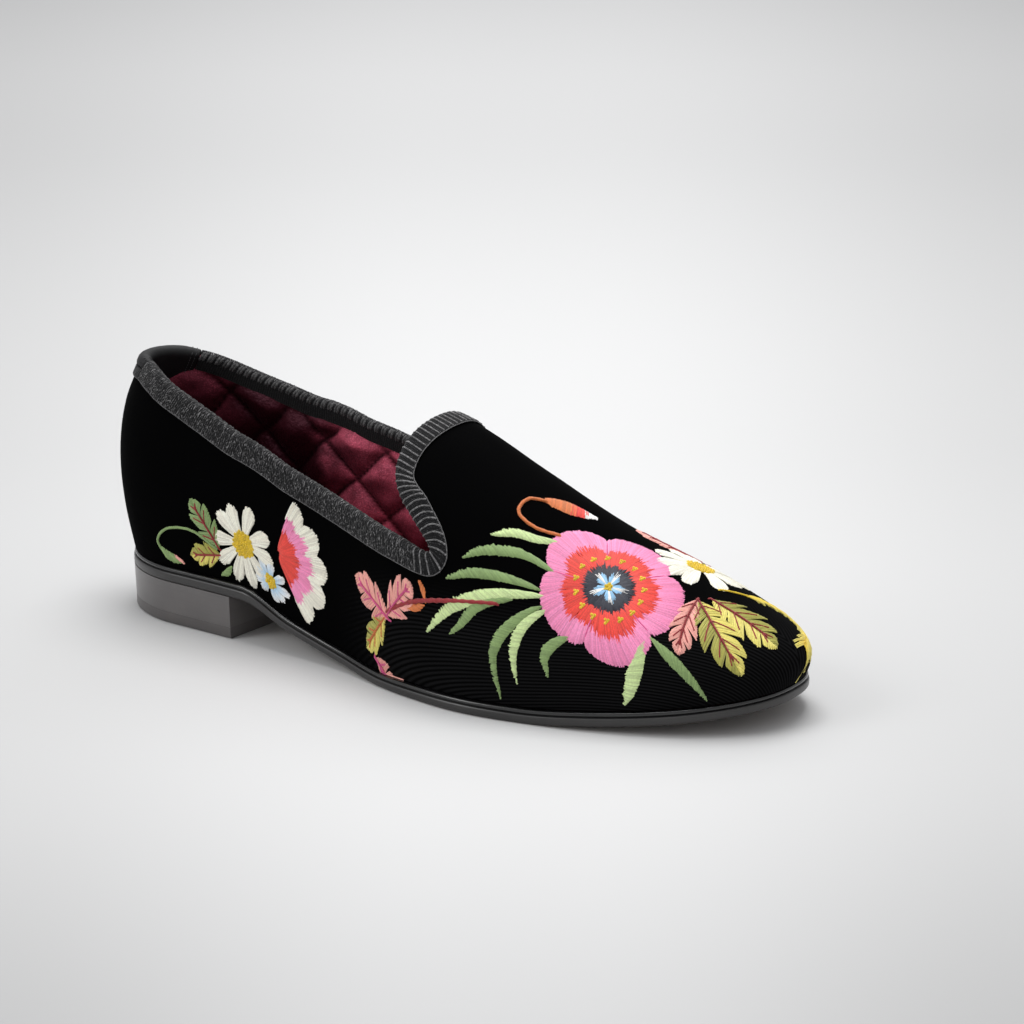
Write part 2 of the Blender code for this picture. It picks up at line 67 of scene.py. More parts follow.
GOLDEN_ANGLE = 2.39996


class Side(Enum):
    """The two sides of the foot, as the sign of Y."""

    LATERAL = -1.0
    MEDIAL = 1.0


def paint(red: int, green: int, blue: int) -> Colour:
    """Turn a colour as a screen shows it, 0 to 255, into linear light."""
    shares = (red / 255.0, green / 255.0, blue / 255.0)
    linear = [s / 12.92 if s <= 0.04045 else ((s + 0.055) / 1.055) ** 2.4 for s in shares]
    return linear[0], linear[1], linear[2]


class Yarn(Enum):
    """Colours of the embroidery thread."""

    PINK = paint(246, 146, 190)
    ROSE = paint(216, 84, 140)
    CORAL = paint(233, 70, 58)
    NIGHT = paint(44, 46, 58)
    SKY = paint(150, 198, 232)
    WHITE = paint(244, 243, 240)
    CREAM = paint(241, 237, 221)
    GOLD = paint(238, 204, 44)
    MAIZE = paint(226, 214, 112)
    OLIVE = paint(172, 168, 78)
    LIME = paint(204, 224, 160)
    SAGE = paint(134, 160, 100)
    WINE = paint(150, 34, 40)
    SALMON = paint(238, 168, 156)
    RUST = paint(214, 120, 62)


class Table:
    """Rows of numbers under named columns, read between rows by a smooth curve without overshoot."""

    def __init__(self, names: str, rows: Sequence[Sequence[float]]) -> None:
        """Keep the rows.

        Args:
            names: The columns' names, with spaces between them.
            rows: One tuple of numbers for each row, in order of the first column.
        """
        self.names = names.split()
        self.rows = np.array(rows, dtype=float)

    def column(self, name: str) -> Array:
        """Return one column as an array."""
        return self.rows[:, self.names.index(name)]

    def read(self, name: str, at: Array | float) -> Array:
        """Read a column at given places of the first column.

        Args:
            name: The column that is read.
            at: Places of the first column.

        Returns:
            The values there.
        """
        places, values = self.rows[:, 0], self.column(name)
        at = np.clip(at, places[0], places[-1])
        steps = np.diff(places)
        rises = np.diff(values) / steps
        slopes = np.empty(len(places))
        slopes[0], slopes[-1] = rises[0], rises[-1]
        before, after = rises[:-1], rises[1:]
        mean = (before * steps[1:] + after * steps[:-1]) / (steps[1:] + steps[:-1])
        slopes[1:-1] = np.where(before * after <= 0.0, 0.0, mean)
        limit = 3.0 * np.minimum(np.abs(before), np.abs(after))
        slopes[1:-1] = np.clip(slopes[1:-1], -limit, limit)
        cell = np.clip(np.searchsorted(places, at, side="right") - 1, 0, len(places) - 2)
        t = (at - places[cell]) / steps[cell]
        low = values[cell] * (1 + 2 * t) * (1 - t) ** 2 + values[cell + 1] * t * t * (3 - 2 * t)
        return low + steps[cell] * t * (1 - t) * ((1 - t) * slopes[cell] - t * slopes[cell + 1])


PLAN = Table("station lateral medial", [
    (0.00, 0.320, 0.322), (0.14, 0.316, 0.320), (0.28, 0.331, 0.309), (0.42, 0.383, 0.291),
    (0.55, 0.500, 0.343), (0.65, 0.545, 0.429), (0.75, 0.514, 0.486), (0.85, 0.457, 0.474),
    (0.93, 0.423, 0.429), (1.00, 0.406, 0.406),
])
TREAD = Table("station heel spring", [
    (-0.02, 1.03, 0.00), (0.12, 1.015, 0.00), (0.25, 1.00, 0.00), (0.33, 0.55, 0.00), (0.42, 0.19, 0.00),
    (0.51, 0.00, 0.00), (0.60, 0.00, 0.00), (0.72, 0.00, 0.00), (0.80, 0.00, 0.15), (0.90, 0.00, 0.45),
    (1.02, 0.00, 1.00),
])
SOLE_EDGE = Table("station thickness margin", [
    (-0.02, 1.15, 0.15), (0.06, 1.15, 0.35), (0.12, 1.15, 0.65), (0.24, 1.15, 0.95), (0.34, 0.85, 0.85),
    (0.50, 0.90, 0.90), (0.65, 1.00, 1.00), (0.90, 1.00, 0.85), (1.02, 1.00, 0.15),
])
SECTIONS = Table("station crown squareness", [
    (0.00, 1.060, 2.25), (0.15, 1.108, 2.30), (0.30, 1.123, 2.42), (0.42, 1.066, 2.52), (0.52, 0.990, 2.50),
    (0.62, 0.822, 2.22), (0.72, 0.646, 2.03), (0.82, 0.490, 2.02), (0.90, 0.376, 2.08), (0.96, 0.302, 2.14),
    (1.00, 0.262, 2.18),
])
BACK_CURVE = Table("height push", [
    (0.00, 0.00), (0.20, 0.64), (0.47, 1.00), (0.73, 0.62), (1.00, -0.66), (1.30, -1.60),
])
TOE_CURVE = Table("height push", [
    (0.00, 0.00), (0.18, 0.70), (0.40, 1.00), (0.70, 0.80), (1.00, 0.40), (1.60, 0.00),
])
TOPLINE = Table("row station lateral medial foot", [
    (0, 0.000, 0.420, 0.420, 0.000), (1, 0.015, 0.423, 0.428, 0.064), (2, 0.050, 0.436, 0.462, 0.118),
    (3, 0.115, 0.515, 0.536, 0.196), (4, 0.185, 0.592, 0.590, 0.258), (5, 0.250, 0.656, 0.629, 0.309),
    (6, 0.310, 0.661, 0.610, 0.354), (7, 0.375, 0.660, 0.585, 0.402), (8, 0.455, 0.657, 0.567, 0.459),
    (9, 0.530, 0.648, 0.570, 0.520), (10, 0.571, 0.630, 0.582, 0.570), (11, 0.584, 0.596, 0.571, 0.611),
    (12, 0.574, 0.552, 0.538, 0.645), (13, 0.547, 0.508, 0.500, 0.682), (14, 0.521, 0.464, 0.460, 0.723),
    (15, 0.506, 0.404, 0.402, 0.770), (16, 0.501, 0.311, 0.311, 0.823), (17, 0.501, 0.208, 0.208, 0.875),
    (18, 0.502, 0.104, 0.104, 0.935), (19, 0.502, 0.000, 0.000, 1.000),
])


def unit(vectors: Array) -> Array:
    """Return the vectors at length one."""
    return vectors / np.maximum(np.linalg.norm(vectors, axis=-1, keepdims=True), 1e-12)


def ease(value: Array, low: float, high: float) -> Array:
    """Return a smooth step from 0 at low to 1 at high; high may be the lesser."""
    t = np.clip((value - low) / (high - low), 0.0, 1.0)
    return t * t * (3 - 2 * t)


def quarter_turn(directions: Array) -> Array:
    """Return directions in a plane, turned to the left by a right angle."""
    return np.stack([-directions[..., 1], directions[..., 0]], axis=-1)


def steps_along(line: Array) -> Array:
    """Return the lengths of a line's steps."""
    return np.linalg.norm(np.diff(line, axis=0), axis=-1)


def lengths_along(line: Array) -> Array:
    """Return the length from a line's start to each of its points."""
    return np.concatenate([[0.0], np.cumsum(steps_along(line))])


def resample(wanted: Array, places: Array, values: Array) -> Array:
    """Return rows of values at wanted places, between rows at rising places."""
    return np.stack([np.interp(wanted, places, column) for column in values.T], axis=-1)


@dataclass(frozen=True)
class Last:
    """The form that every piece takes its outline from."""

    length: float = 0.275
    ball_width: float = 0.0875
    instep_height: float = 0.083
    heel_lift: float = 0.016
    toe_spring: float = 0.009
    toe_swing: float = 0.0125
    swing_start: float = 0.30
    swing_power: float = 1.6
    heel_round: float = 0.034
    toe_round: float = 0.065
    toe_plan_power: float = 2.4
    crown_round: float = 0.040
    crown_power: float = 2.8
    side_bulge: float = 0.07
    back_bulge: float = 0.0066
    back_reach: float = 0.124
    toe_bulge: float = 0.0026
    toe_reach: float = 0.070
    back_height: float = 0.075
    toe_height: float = 0.028
    wall: float = 0.0025
    welt_height: float = 0.0016
    welt_margin: float = 0.0024
    outsole_thickness: float = 0.0030
    insole_rise: float = 0.0034
    heel_length: float = 0.065
    breast_skew: float = 0.06
    heel_taper: float = 0.0004
    domain_round: float = 0.19
    domain_girth: float = 0.115
    nose_power: float = 2.5
    small_step: float = 1e-5
    chart_step: float = 0.0005

    def plan_half(self, station: Array, side: Side) -> Array:
        """Return the feather line's half width at stations of the last."""
        width = self.ball_width * PLAN.read(side.name.lower(), station)
        heel = np.sqrt(np.clip(1.0 - self.from_heel(station, self.heel_round) ** 2, 0.0, 1.0))
        ahead = self.from_toe(station, self.toe_round)
        toe = np.clip(1.0 - ahead ** self.toe_plan_power, 0.0, 1.0) ** (1.0 / self.toe_plan_power)
        return width * heel * toe

    def from_toe(self, station: Array, reach: float) -> Array:
        """Return how far a station lies into a reach from the toe, 1 at its tip."""
        return np.clip(1.0 - (1.0 - station) * self.length / reach, 0.0, 1.0)

    def from_heel(self, station: Array, reach: float) -> Array:
        """Return how far a station lies into a reach from the heel, 1 at its back."""
        return np.clip(1.0 - station * self.length / reach, 0.0, 1.0)

    def centre_line(self, station: Array) -> Array:
        """Return how far the middle of the section stands to the inner side."""
        ahead = np.clip((station - self.swing_start) / (1.0 - self.swing_start), 0.0, 1.0)
        return self.toe_swing * ahead ** self.swing_power

    def along(self, station: Array) -> Array:
        """Return X of a station."""
        return self.length * station - self.heel_length / 2

    def station_at(self, x: Array) -> Array:
        """Return the station of an X."""
        return (x + self.heel_length / 2) / self.length

    def tread_height(self, x: Array) -> Array:
        """Return the height of the outsole's underside over the floor."""
        station = self.station_at(x)
        return self.heel_lift * TREAD.read("heel", station) + self.toe_spring * TREAD.read("spring", station)

    def sole_top(self, x: Array) -> Array:
        """Return the height of the outsole's upper face."""
        return self.tread_height(x) + self.outsole_thickness * SOLE_EDGE.read("thickness", self.station_at(x))

    def upper_seat(self, x: Array) -> Array:
        """Return the height at which the upper stands on the welt."""
        return self.sole_top(x) + self.welt_height + 2 * GAP

    def sole_margin(self, station: Array) -> Array:
        """Return how far the outsole stands outside the feather line."""
        return self.welt_margin * SOLE_EDGE.read("margin", station)

    def feather_line(self, station: Array, side: Side, outward: Array | float = 0.0) -> tuple[Array, Array]:
        """Return X and Y on the feather line, moved outward along its normal in plan."""
        first = np.clip(station - self.small_step, 0.0, 1.0)
        second = np.clip(station + self.small_step, 0.0, 1.0)
        forward = self.along(second) - self.along(first)
        turn = self.centre_line(second) - self.centre_line(first)
        spread = self.plan_half(second, side) - self.plan_half(first, side) + side.value * turn
        length = np.hypot(forward, spread)
        tip = (station < 1e-9) | (station > 1.0 - 1e-9)
        lean = np.where(tip, 0.0, forward / length)
        push = np.where(tip, np.where(station < 0.5, -1.0, 1.0), -spread / length)
        x = self.along(station) + outward * push
        y = self.centre_line(station) + side.value * (self.plan_half(station, side) + outward * lean)
        return x, y

    def upper_point(self, station: Array, drop: Array, side: Array) -> Array:
        """Return points of the upper's outer face.

        Args:
            station: Shares of the length, 0 at the heel.
            drop: 0 at the crown, 1 at the feather line.
            side: -1 on the outer side of the foot, 1 on the inner side.

        Returns:
            Points, with X, Y and Z last.
        """
        lateral, medial = [self.plan_half(station, each) for each in Side]
        width = np.where(side < 0, lateral, medial)
        power = SECTIONS.read("squareness", station)
        ahead = self.from_toe(station, self.crown_round)
        nose = np.clip(1.0 - ahead ** self.crown_power, 0.0, 1.0) ** (1.0 / self.crown_power)
        height = self.instep_height * SECTIONS.read("crown", station) * nose
        angle = np.clip((1.0 - drop) * math.pi / 2, 0.0, math.pi / 2)
        across = np.clip(np.cos(angle), 0.0, 1.0) ** (2.0 / power)
        rise = height * np.clip(np.sin(angle), 0.0, 1.0) ** (2.0 / power)
        reach = width * (across + self.side_bulge * np.sin(2 * angle))
        fade_back = self.from_heel(station, self.back_reach) ** 2
        fade_toe = self.from_toe(station, self.toe_reach) ** 2
        push = self.toe_bulge * fade_toe * TOE_CURVE.read("push", rise / self.toe_height)
        push = push - self.back_bulge * fade_back * BACK_CURVE.read("push", rise / self.back_height)
        x = self.along(station)
        y = self.centre_line(station) + side * reach
        return np.stack([x + push, y, self.upper_seat(x) + rise], axis=-1)

    def to_domain(self, station: Array, drop: Array) -> Array:
        """Unroll places of the upper: lengths along the shoe and down its side."""
        down = drop * np.sqrt(np.clip(1.0 - station ** self.nose_power, 0.0, 1.0))
        length = self.length * np.sqrt(station ** 2 + self.domain_round * station)
        return np.stack([length, self.domain_girth * down], axis=-1)

    def from_domain(self, along: Array, down: Array) -> Array:
        """Return points of the outer face at unrolled places; down is below 0 on the outer side."""
        length = np.clip(along, 0.0, None) / self.length
        station = (np.sqrt(self.domain_round ** 2 + 4 * length ** 2) - self.domain_round) / 2
        station = np.clip(station, 0.0, 1.0)
        room = np.sqrt(np.clip(1.0 - station ** self.nose_power, 1e-12, 1.0))
        drop = np.clip(np.abs(down) / self.domain_girth / room, 0.0, 1.0)
        return self.upper_point(station, drop, np.where(down < 0, -1.0, 1.0))

    def chart(self, places: Array) -> tuple[Array, Array]:
        """Return points and outward normals at unrolled places, both sides in one chart."""
        u, v, step = places[..., 0], places[..., 1], self.chart_step
        points = self.from_domain(u, v)
        ahead = self.from_domain(u + step, v) - self.from_domain(u - step, v)
        across = self.from_domain(u, v + step) - self.from_domain(u, v - step)
        return points, unit(np.cross(ahead, across))

    def ring(self, stations: Array, outward: Callable[[Array], Array],
             height: Callable[[Array], Array]) -> Array:
        """Return a closed ring round the feather line: up the outer side, back along the inner one."""
        points = []
        for side, run in ((Side.LATERAL, stations), (Side.MEDIAL, stations[-2:0:-1])):
            x, y = self.feather_line(run, side, outward(run))
            points.append(np.stack([x, y, height(x)], axis=-1))
        return np.concatenate(points)


@dataclass(frozen=True)
class Cut:
    """How finely the upper's surface is cut, and how its columns run."""

    per_step: int
    rows: int
    handle: float = 0.36
    samples: int = 160
    crowding: float = 1.6
    edge_step: float = 0.00025
    edge_reach: float = 0.0160
    tilt_reach: float = 0.0033


class UpperSurface:
    """The upper's outer face as a ring of columns, each from the top edge down to the sole."""

    def __init__(self, last: Last, cut: Cut) -> None:
        """Work out the columns, their normals, and the band below the top edge."""
        self.last, self.cut = last, cut
        lateral, lateral_rim, lateral_places = self._columns(Side.LATERAL)
        medial, medial_rim, medial_places = self._columns(Side.MEDIAL)
        self.outer = np.concatenate([lateral, medial[-2:0:-1]])
        self.rim = np.concatenate([lateral_rim, medial_rim[-2:0:-1]])
        self.unrolled = np.concatenate([lateral_places, medial_places[-2:0:-1]])
        around = np.roll(self.outer, -1, axis=0) - np.roll(self.outer, 1, axis=0)
        down = np.gradient(self.outer, axis=1)
        self.normal = unit(np.cross(down, around))
        self.normal[:, -1, 2] = 0.0
        self.normal = unit(self.normal)
        self.depth = np.array([lengths_along(column) for column in self.outer])
        self.arc = lengths_along(np.concatenate([self.outer[:, 0], self.outer[:1, 0]]))
        self.girth = float(self.arc[-1])
        levels = np.arange(0.0, cut.edge_reach, cut.edge_step)
        self.edge_points = self._level(self.outer, levels)
        self.edge_normals = unit(self._level(self.normal, levels))

    def _level(self, values: Array, levels: Array) -> Array:
        """Return the grid's values at even depths below the top edge."""
        return np.array([resample(levels, depth, column) for depth, column in zip(self.depth, values)])

    def _topline(self, side: Side) -> tuple[Array, Array]:
        """Return the unrolled top edge of one side and the directions into the upper."""
        knots = self.last.to_domain(TOPLINE.column("station"), TOPLINE.column(side.name.lower()))
        padded = np.vstack([knots[1] * (-1.0, 1.0), knots, knots[-2] * (1.0, -1.0)])
        places, tangents = [], []
        for row in range(len(knots) - 1):
            for part in range(self.cut.per_step):
                t = part / self.cut.per_step
                p0, p1, p2, p3 = padded[row:row + 4]
                m1, m2 = (p2 - p0) / 2, (p3 - p1) / 2
                place = (2 * t ** 3 - 3 * t * t + 1) * p1 + (t ** 3 - 2 * t * t + t) * m1
                places.append(place + (3 * t * t - 2 * t ** 3) * p2 + (t ** 3 - t * t) * m2)
                slope = (6 * t * t - 6 * t) * (p1 - p2) + (3 * t * t - 4 * t + 1) * m1
                tangents.append(slope + (3 * t * t - 2 * t) * m2)
        places.append(knots[-1])
        tangents.append(np.array((0.0, -1.0)))
        tangents = unit(np.array(tangents))
        outward = quarter_turn(tangents)
        outward[0], outward[-1] = (0.0, 1.0), (1.0, 0.0)
        return np.array(places), outward

    def _columns(self, side: Side) -> tuple[Array, Array, Array]:
        """Return one side's columns from the back seam on.

        Args:
            side: The side of the foot.

        Returns:
            The columns, the foot of each on the inner face, and the columns' unrolled places.
        """
        last, cut = self.last, self.cut
        places, outward = self._topline(side)
        count = len(TOPLINE.rows) - 1
        rows = np.linspace(0.0, count, count * cut.per_step + 1)
        starts = (1.0 - np.cos(math.pi * TOPLINE.read("foot", rows))) / 2
        ones = np.ones_like(starts)
        feet = last.to_domain(starts, ones)
        run = unit(last.to_domain(np.clip(starts + last.small_step, 0, 1), ones)
                   - last.to_domain(np.clip(starts - last.small_step, 0, 1), ones))
        inward = -quarter_turn(run)
        inward[0], inward[-1] = (0.0, -1.0), (-1.0, 0.0)
        fine = 1.0 - np.linspace(1.0, 0.0, cut.samples)[:, None] ** 3
        lower = 1.0 - np.linspace(1.0, 0.0, cut.rows + 1) ** cut.crowding
        columns, unrolled = [], []
        for place, out, foot, back, start in zip(places, outward, feet, inward, starts):
            handle = cut.handle * np.linalg.norm(place - foot)
            path = (1 - fine) ** 3 * place + 3 * fine * (1 - fine) ** 2 * (place + handle * out)
            path = path + 3 * fine ** 2 * (1 - fine) * (foot + handle * back) + fine ** 3 * foot
            points = last.from_domain(path[:, 0], side.value * np.maximum(path[:, 1], 1e-9))
            points[-1] = last.upper_point(start, np.array(1.0), np.array(side.value))
            depth = lengths_along(points)
            columns.append(resample(depth[-1] * lower, depth, points))
            unrolled.append(resample(depth[-1] * lower, depth, path))
        x, y = last.feather_line(starts, side, -last.wall)
        return np.array(columns), np.stack([x, y, last.upper_seat(x)], axis=-1), np.array(unrolled)

    def band(self, arc: Array, depth: Array) -> tuple[Array, Array]:
        """Return outer points and normals near the top edge.

        Args:
            arc: Lengths along the top edge from the back seam, up the outer side first.
            depth: Lengths below the top edge.

        Returns:
            Points and unit normals.
        """
        column = np.interp(np.mod(arc, self.girth), self.arc, np.arange(len(self.arc)))
        low = np.floor(column).astype(int)
        across = (column - low)[..., None]
        level = np.clip(depth / self.cut.edge_step, 0.0, self.edge_points.shape[1] - 1.001)
        row = np.floor(level).astype(int)
        down = (level - row)[..., None]
        low, high = low % len(self.outer), (low + 1) % len(self.outer)
        found = []
        for grid in (self.edge_points, self.edge_normals):
            near = grid[low, row] * (1 - across) + grid[high, row] * across
            far = grid[low, row + 1] * (1 - across) + grid[high, row + 1] * across
            found.append(near * (1 - down) + far * down)
        return found[0], unit(found[1])

    def fold(self, arc: Array, reach: Array, lift: Array | float) -> Array:
        """Return points on a strip that is folded over the top edge.

        Args:
            arc: Lengths along the top edge.
            reach: Lengths over the fold: below 0 on the outer face, then over the edge, then inside.
            lift: Heights over the upper's wall.

        Returns:
            The points.
        """
        arc, reach = np.broadcast_arrays(np.asarray(arc, float), np.asarray(reach, float))
        lift = np.broadcast_to(np.asarray(lift, float), arc.shape)[..., None]
        half, turn = self.last.wall / 2, self.turn
        depth = np.where(reach < 0, -reach, np.maximum(reach - turn, 0.0))
        point, normal = self.band(arc, depth)
        edge, edge_normal = self.band(arc, np.zeros_like(arc))
        below, _ = self.band(arc, np.full_like(arc, self.cut.tilt_reach))
        up = unit(edge - below)
        up = unit(up - edge_normal * np.sum(up * edge_normal, axis=-1, keepdims=True))
        angle = np.clip(reach / half, 0.0, math.pi)[..., None]
        over = edge - half * edge_normal + (half + lift) * (edge_normal * np.cos(angle) + up * np.sin(angle))
        outside = point + lift * normal
        inside = point - (self.last.wall + lift) * normal
        reach = reach[..., None]
        return np.where(reach < 0, outside, np.where(reach <= turn, over, inside))

    @property
    def turn(self) -> float:
        """Length of the fold over the wall."""
        return math.pi * (self.last.wall / 2)

    def reaches(self, outer: float, inner: float, counts: tuple[int, int, int]) -> Array:
        """Return reaches across a folded strip.

        Args:
            outer: Width of its leg on the outer face.
            inner: Width of its leg inside.
            counts: How many reaches the outer leg, the fold and the inner leg have.

        Returns:
            The reaches, from the outer edge to the inner one.
        """
        outside, over, inside = counts
        return np.concatenate([np.linspace(-outer, 0.0, outside)[:-1], np.linspace(0.0, self.turn, over),
                               self.turn + np.linspace(0.0, inner, inside)[1:]])

    def section(self, arc: float, reach: Array, thick: Array) -> Array:
        """Return a closed section of a strip that stands one gap over the wall."""
        return np.concatenate([self.fold(arc, reach, GAP + thick), self.fold(arc, reach[::-1], GAP)])

    def arc_of_row(self, row: float, side: Side) -> float:
        """Return the length along the top edge at a row of the topline table."""
        column = row * self.cut.per_step
        if side is Side.MEDIAL:
            column = len(self.outer) - column
        return float(np.interp(column, np.arange(len(self.arc)), self.arc))


class Graph:
    """A node tree that is filled by one method."""

    def __init__(self, tree: bpy.types.NodeTree) -> None:
        """Keep the tree."""
        self.tree = tree

    def node(self, kind: str, settings: dict | None = None, inputs: dict | None = None) -> bpy.types.Node:
        """Add a node.

        Args:
            kind: The node's type.
            settings: Its properties, set first.
            inputs: Values or links of its sockets, by name or number.

        Returns:
            The node.
        """
        node = self.tree.nodes.new(kind)
        for name, value in (settings or {}).items():
            setattr(node, name, value)
        for key, value in (inputs or {}).items():
            self.feed(node.inputs[key], value)
        return node

    def feed(self, socket: bpy.types.NodeSocket, value: object) -> None:
        """Link a socket, or set its value."""
        if isinstance(value, Wire):
            value = value.socket
        if isinstance(value, bpy.types.NodeSocket):
            self.tree.links.new(value, socket)
        elif isinstance(value, tuple) and len(value) == 3 and socket.type == "RGBA":
            socket.default_value = (*value, 1.0)
        else:
            socket.default_value = value

    def wire(self, kind: str, output: str | int = 0, settings: dict | None = None,
             inputs: dict | None = None) -> Wire:
        """Add a node and return one of its outputs."""
        return Wire(self, self.node(kind, settings, inputs).outputs[output])

    def split(self, vector: Wire) -> tuple[Wire, Wire, Wire]:
        """Return the three parts of a vector."""
        x, y, z = self.node("ShaderNodeSeparateXYZ", inputs={0: vector}).outputs
        return Wire(self, x), Wire(self, y), Wire(self, z)

    def stretch(self, vector: Wire, scales: tuple[float, float, float]) -> Wire:
        """Return a vector with each part multiplied by a scale."""
        return self.wire("ShaderNodeMapping", inputs={"Vector": vector, "Scale": scales})

    def shade(self, name: str, value: object) -> None:
        """Feed an input of the material's shader."""
        self.feed(self.tree.nodes["Principled BSDF"].inputs[name], value)

    def mix(self, factor: Wire | float, first: object, second: object, blend: str = "MIX") -> Wire:
        """Return a mix of two colours."""
        settings = {"data_type": "RGBA", "blend_type": blend}
        return self.wire("ShaderNodeMix", 2, settings, {0: factor, 6: first, 7: second})

    def noise(self, place: Wire, scale: float, detail: float = 2.0, rough: float = 0.5) -> Wire:
        """Return a noise value at a scale per metre."""
        inputs = {"Vector": place, "Scale": scale, "Detail": detail, "Roughness": rough}
        return self.wire("ShaderNodeTexNoise", "Fac", inputs=inputs)


def operator(operation: str, reflected: bool = False) -> Callable[[Wire, Wire | float], Wire]:
    """Return an operator that adds a Math node, with the other value first if it is reflected."""

    def apply(wire: Wire, other: Wire | float) -> Wire:
        """Add the node."""
        pair = (other, wire) if reflected else (wire, other)
        return wire.graph.wire("ShaderNodeMath", 0, {"operation": operation}, dict(enumerate(pair)))

    return apply


class Wire:
    """One socket of a node tree, with arithmetic."""

    __add__, __radd__ = operator("ADD"), operator("ADD", True)
    __sub__, __rsub__ = operator("SUBTRACT"), operator("SUBTRACT", True)
    __mul__, __rmul__ = operator("MULTIPLY"), operator("MULTIPLY", True)
    __truediv__, __rtruediv__ = operator("DIVIDE"), operator("DIVIDE", True)

    def __init__(self, graph: Graph, socket: bpy.types.NodeSocket) -> None:
        """Keep the socket."""
        self.graph, self.socket = graph, socket

    def math(self, operation: str, *others: Wire | float, clamp: bool = False) -> Wire:
        """Return a Math node of this value and others."""
        settings = {"operation": operation, "use_clamp": clamp}
        return self.graph.wire("ShaderNodeMath", 0, settings, dict(enumerate((self, *others))))

    def wave(self) -> Wire:
        """Return half of one plus the sine."""
        return 0.5 + 0.5 * self.math("SINE")

    def clamp(self) -> Wire:
        """Keep the value between 0 and 1."""
        return self.math("ADD", 0.0, clamp=True)

    def step(self, low: float, high: float) -> Wire:
        """Return a smooth step from 0 at low to 1 at high."""
        settings = {"interpolation_type": "SMOOTHSTEP"}
        return self.graph.wire("ShaderNodeMapRange", 0, settings, {0: self, 1: low, 2: high})


@dataclass(frozen=True)
class Finish:
    """A plain finish, which the others build on."""

    name: str
    colour: Colour
    roughness: float = 0.5
    sheen: float = 0.0
    sheen_roughness: float = 0.5
    coat: float = 0.0
    specular: float = 0.5

    def build(self) -> bpy.types.Material:
        """Return the material."""
        material = bpy.data.materials.new(self.name)
        material.use_nodes = True
        graph = Graph(material.node_tree)
        constants = {
            "Base Color": self.colour, "Roughness": self.roughness, "Sheen Weight": self.sheen,
            "Sheen Roughness": self.sheen_roughness, "Coat Weight": self.coat, "Coat Roughness": 0.18,
            "Specular IOR Level": self.specular,
        }
        for name, value in constants.items():
            graph.shade(name, value)
        self.dress(graph, graph.wire("ShaderNodeTexCoord", "Object"))
        return material

    def dress(self, graph: Graph, place: Wire) -> None:
        """Add what varies over the surface."""
        grain = graph.noise(place, 600.0)
        graph.shade("Roughness", self.roughness * 0.8 + 0.4 * self.roughness * grain)
        self.bump(graph, grain, 0.00005, 0.3)

    def bump(self, graph: Graph, height: Wire, distance: float, strength: float) -> None:
        """Feed a height to the normal."""
        inputs = {"Height": height, "Distance": distance, "Strength": strength}
        graph.shade("Normal", graph.wire("ShaderNodeBump", inputs=inputs))


@dataclass(frozen=True)
class VelvetPile(Finish):
    """Short black pile, with fine ribs of the backing low on the forefoot."""

    rib_pitch: float = 0.00110
    rib_slope: float = 0.57
    lift: Colour = (0.0115, 0.0115, 0.0122)

    def dress(self, graph: Graph, place: Wire) -> None:
        """Add the pile's grain, its clouding, and the ribs."""
        x, _, z = graph.split(place)
        along, down, _ = graph.split(graph.wire("ShaderNodeUVMap"))
        down = down.math("ABSOLUTE")
        cloud = graph.noise(place, 45.0, 3.0)
        grain = graph.noise(place, 2600.0, 1.0)
        phase = 2 * math.pi / self.rib_pitch / math.hypot(1.0, self.rib_slope)
        ribs = ((down + along * self.rib_slope) * phase).wave()
        low = z.step(0.046, 0.026) * x.step(0.080, 0.120) * (0.45 + 0.55 * cloud)
        share = (cloud * 0.03 + grain * 0.05 + ribs * low * 0.90).clamp()
        graph.shade("Base Color", graph.mix(share, self.colour, self.lift))
        self.bump(graph, grain * 0.5 + ribs * low * 0.7, 0.00010, 0.6)


@dataclass(frozen=True)
class KnitGround(Finish):
    """Dark knitted ground of the ribbon, with its loops counted by the centimetre."""

    loops_along: float = 10.0
    loops_across: float = 14.0
    light: Colour = (0.045, 0.045, 0.048)

    def dress(self, graph: Graph, place: Wire) -> None:
        """Add knit loops and heather."""
        u, v, _ = graph.split(graph.wire("ShaderNodeUVMap"))
        loops = (u * (2 * math.pi * self.loops_along)).wave() * (v * (2 * math.pi * self.loops_across)).wave()
        heather = graph.noise(place, 1700.0, 2.0, 0.7).step(0.42, 0.62)
        graph.shade("Base Color", graph.mix(heather * 0.8 * loops, self.colour, self.light))
        self.bump(graph, loops + heather * 0.4, 0.0002, 0.7)


@dataclass(frozen=True)
class ColouredYarn(Finish):
    """Thread that carries its own colour on its points."""

    shade: float = 0.30
    fleck: float = 2400.0

    def dress(self, graph: Graph, place: Wire) -> None:
        """Take the thread's colour and fleck it."""
        colour = graph.wire("ShaderNodeAttribute", "Color", {"attribute_name": "yarn"})
        fleck = graph.noise(place, self.fleck, 1.0)
        dark = graph.mix(fleck.step(0.35, 0.65), (1.0 - self.shade,) * 3, (1.0, 1.0, 1.0))
        graph.shade("Base Color", graph.mix(1.0, colour, dark, "MULTIPLY"))
        self.bump(graph, fleck, 0.0001, 0.5)


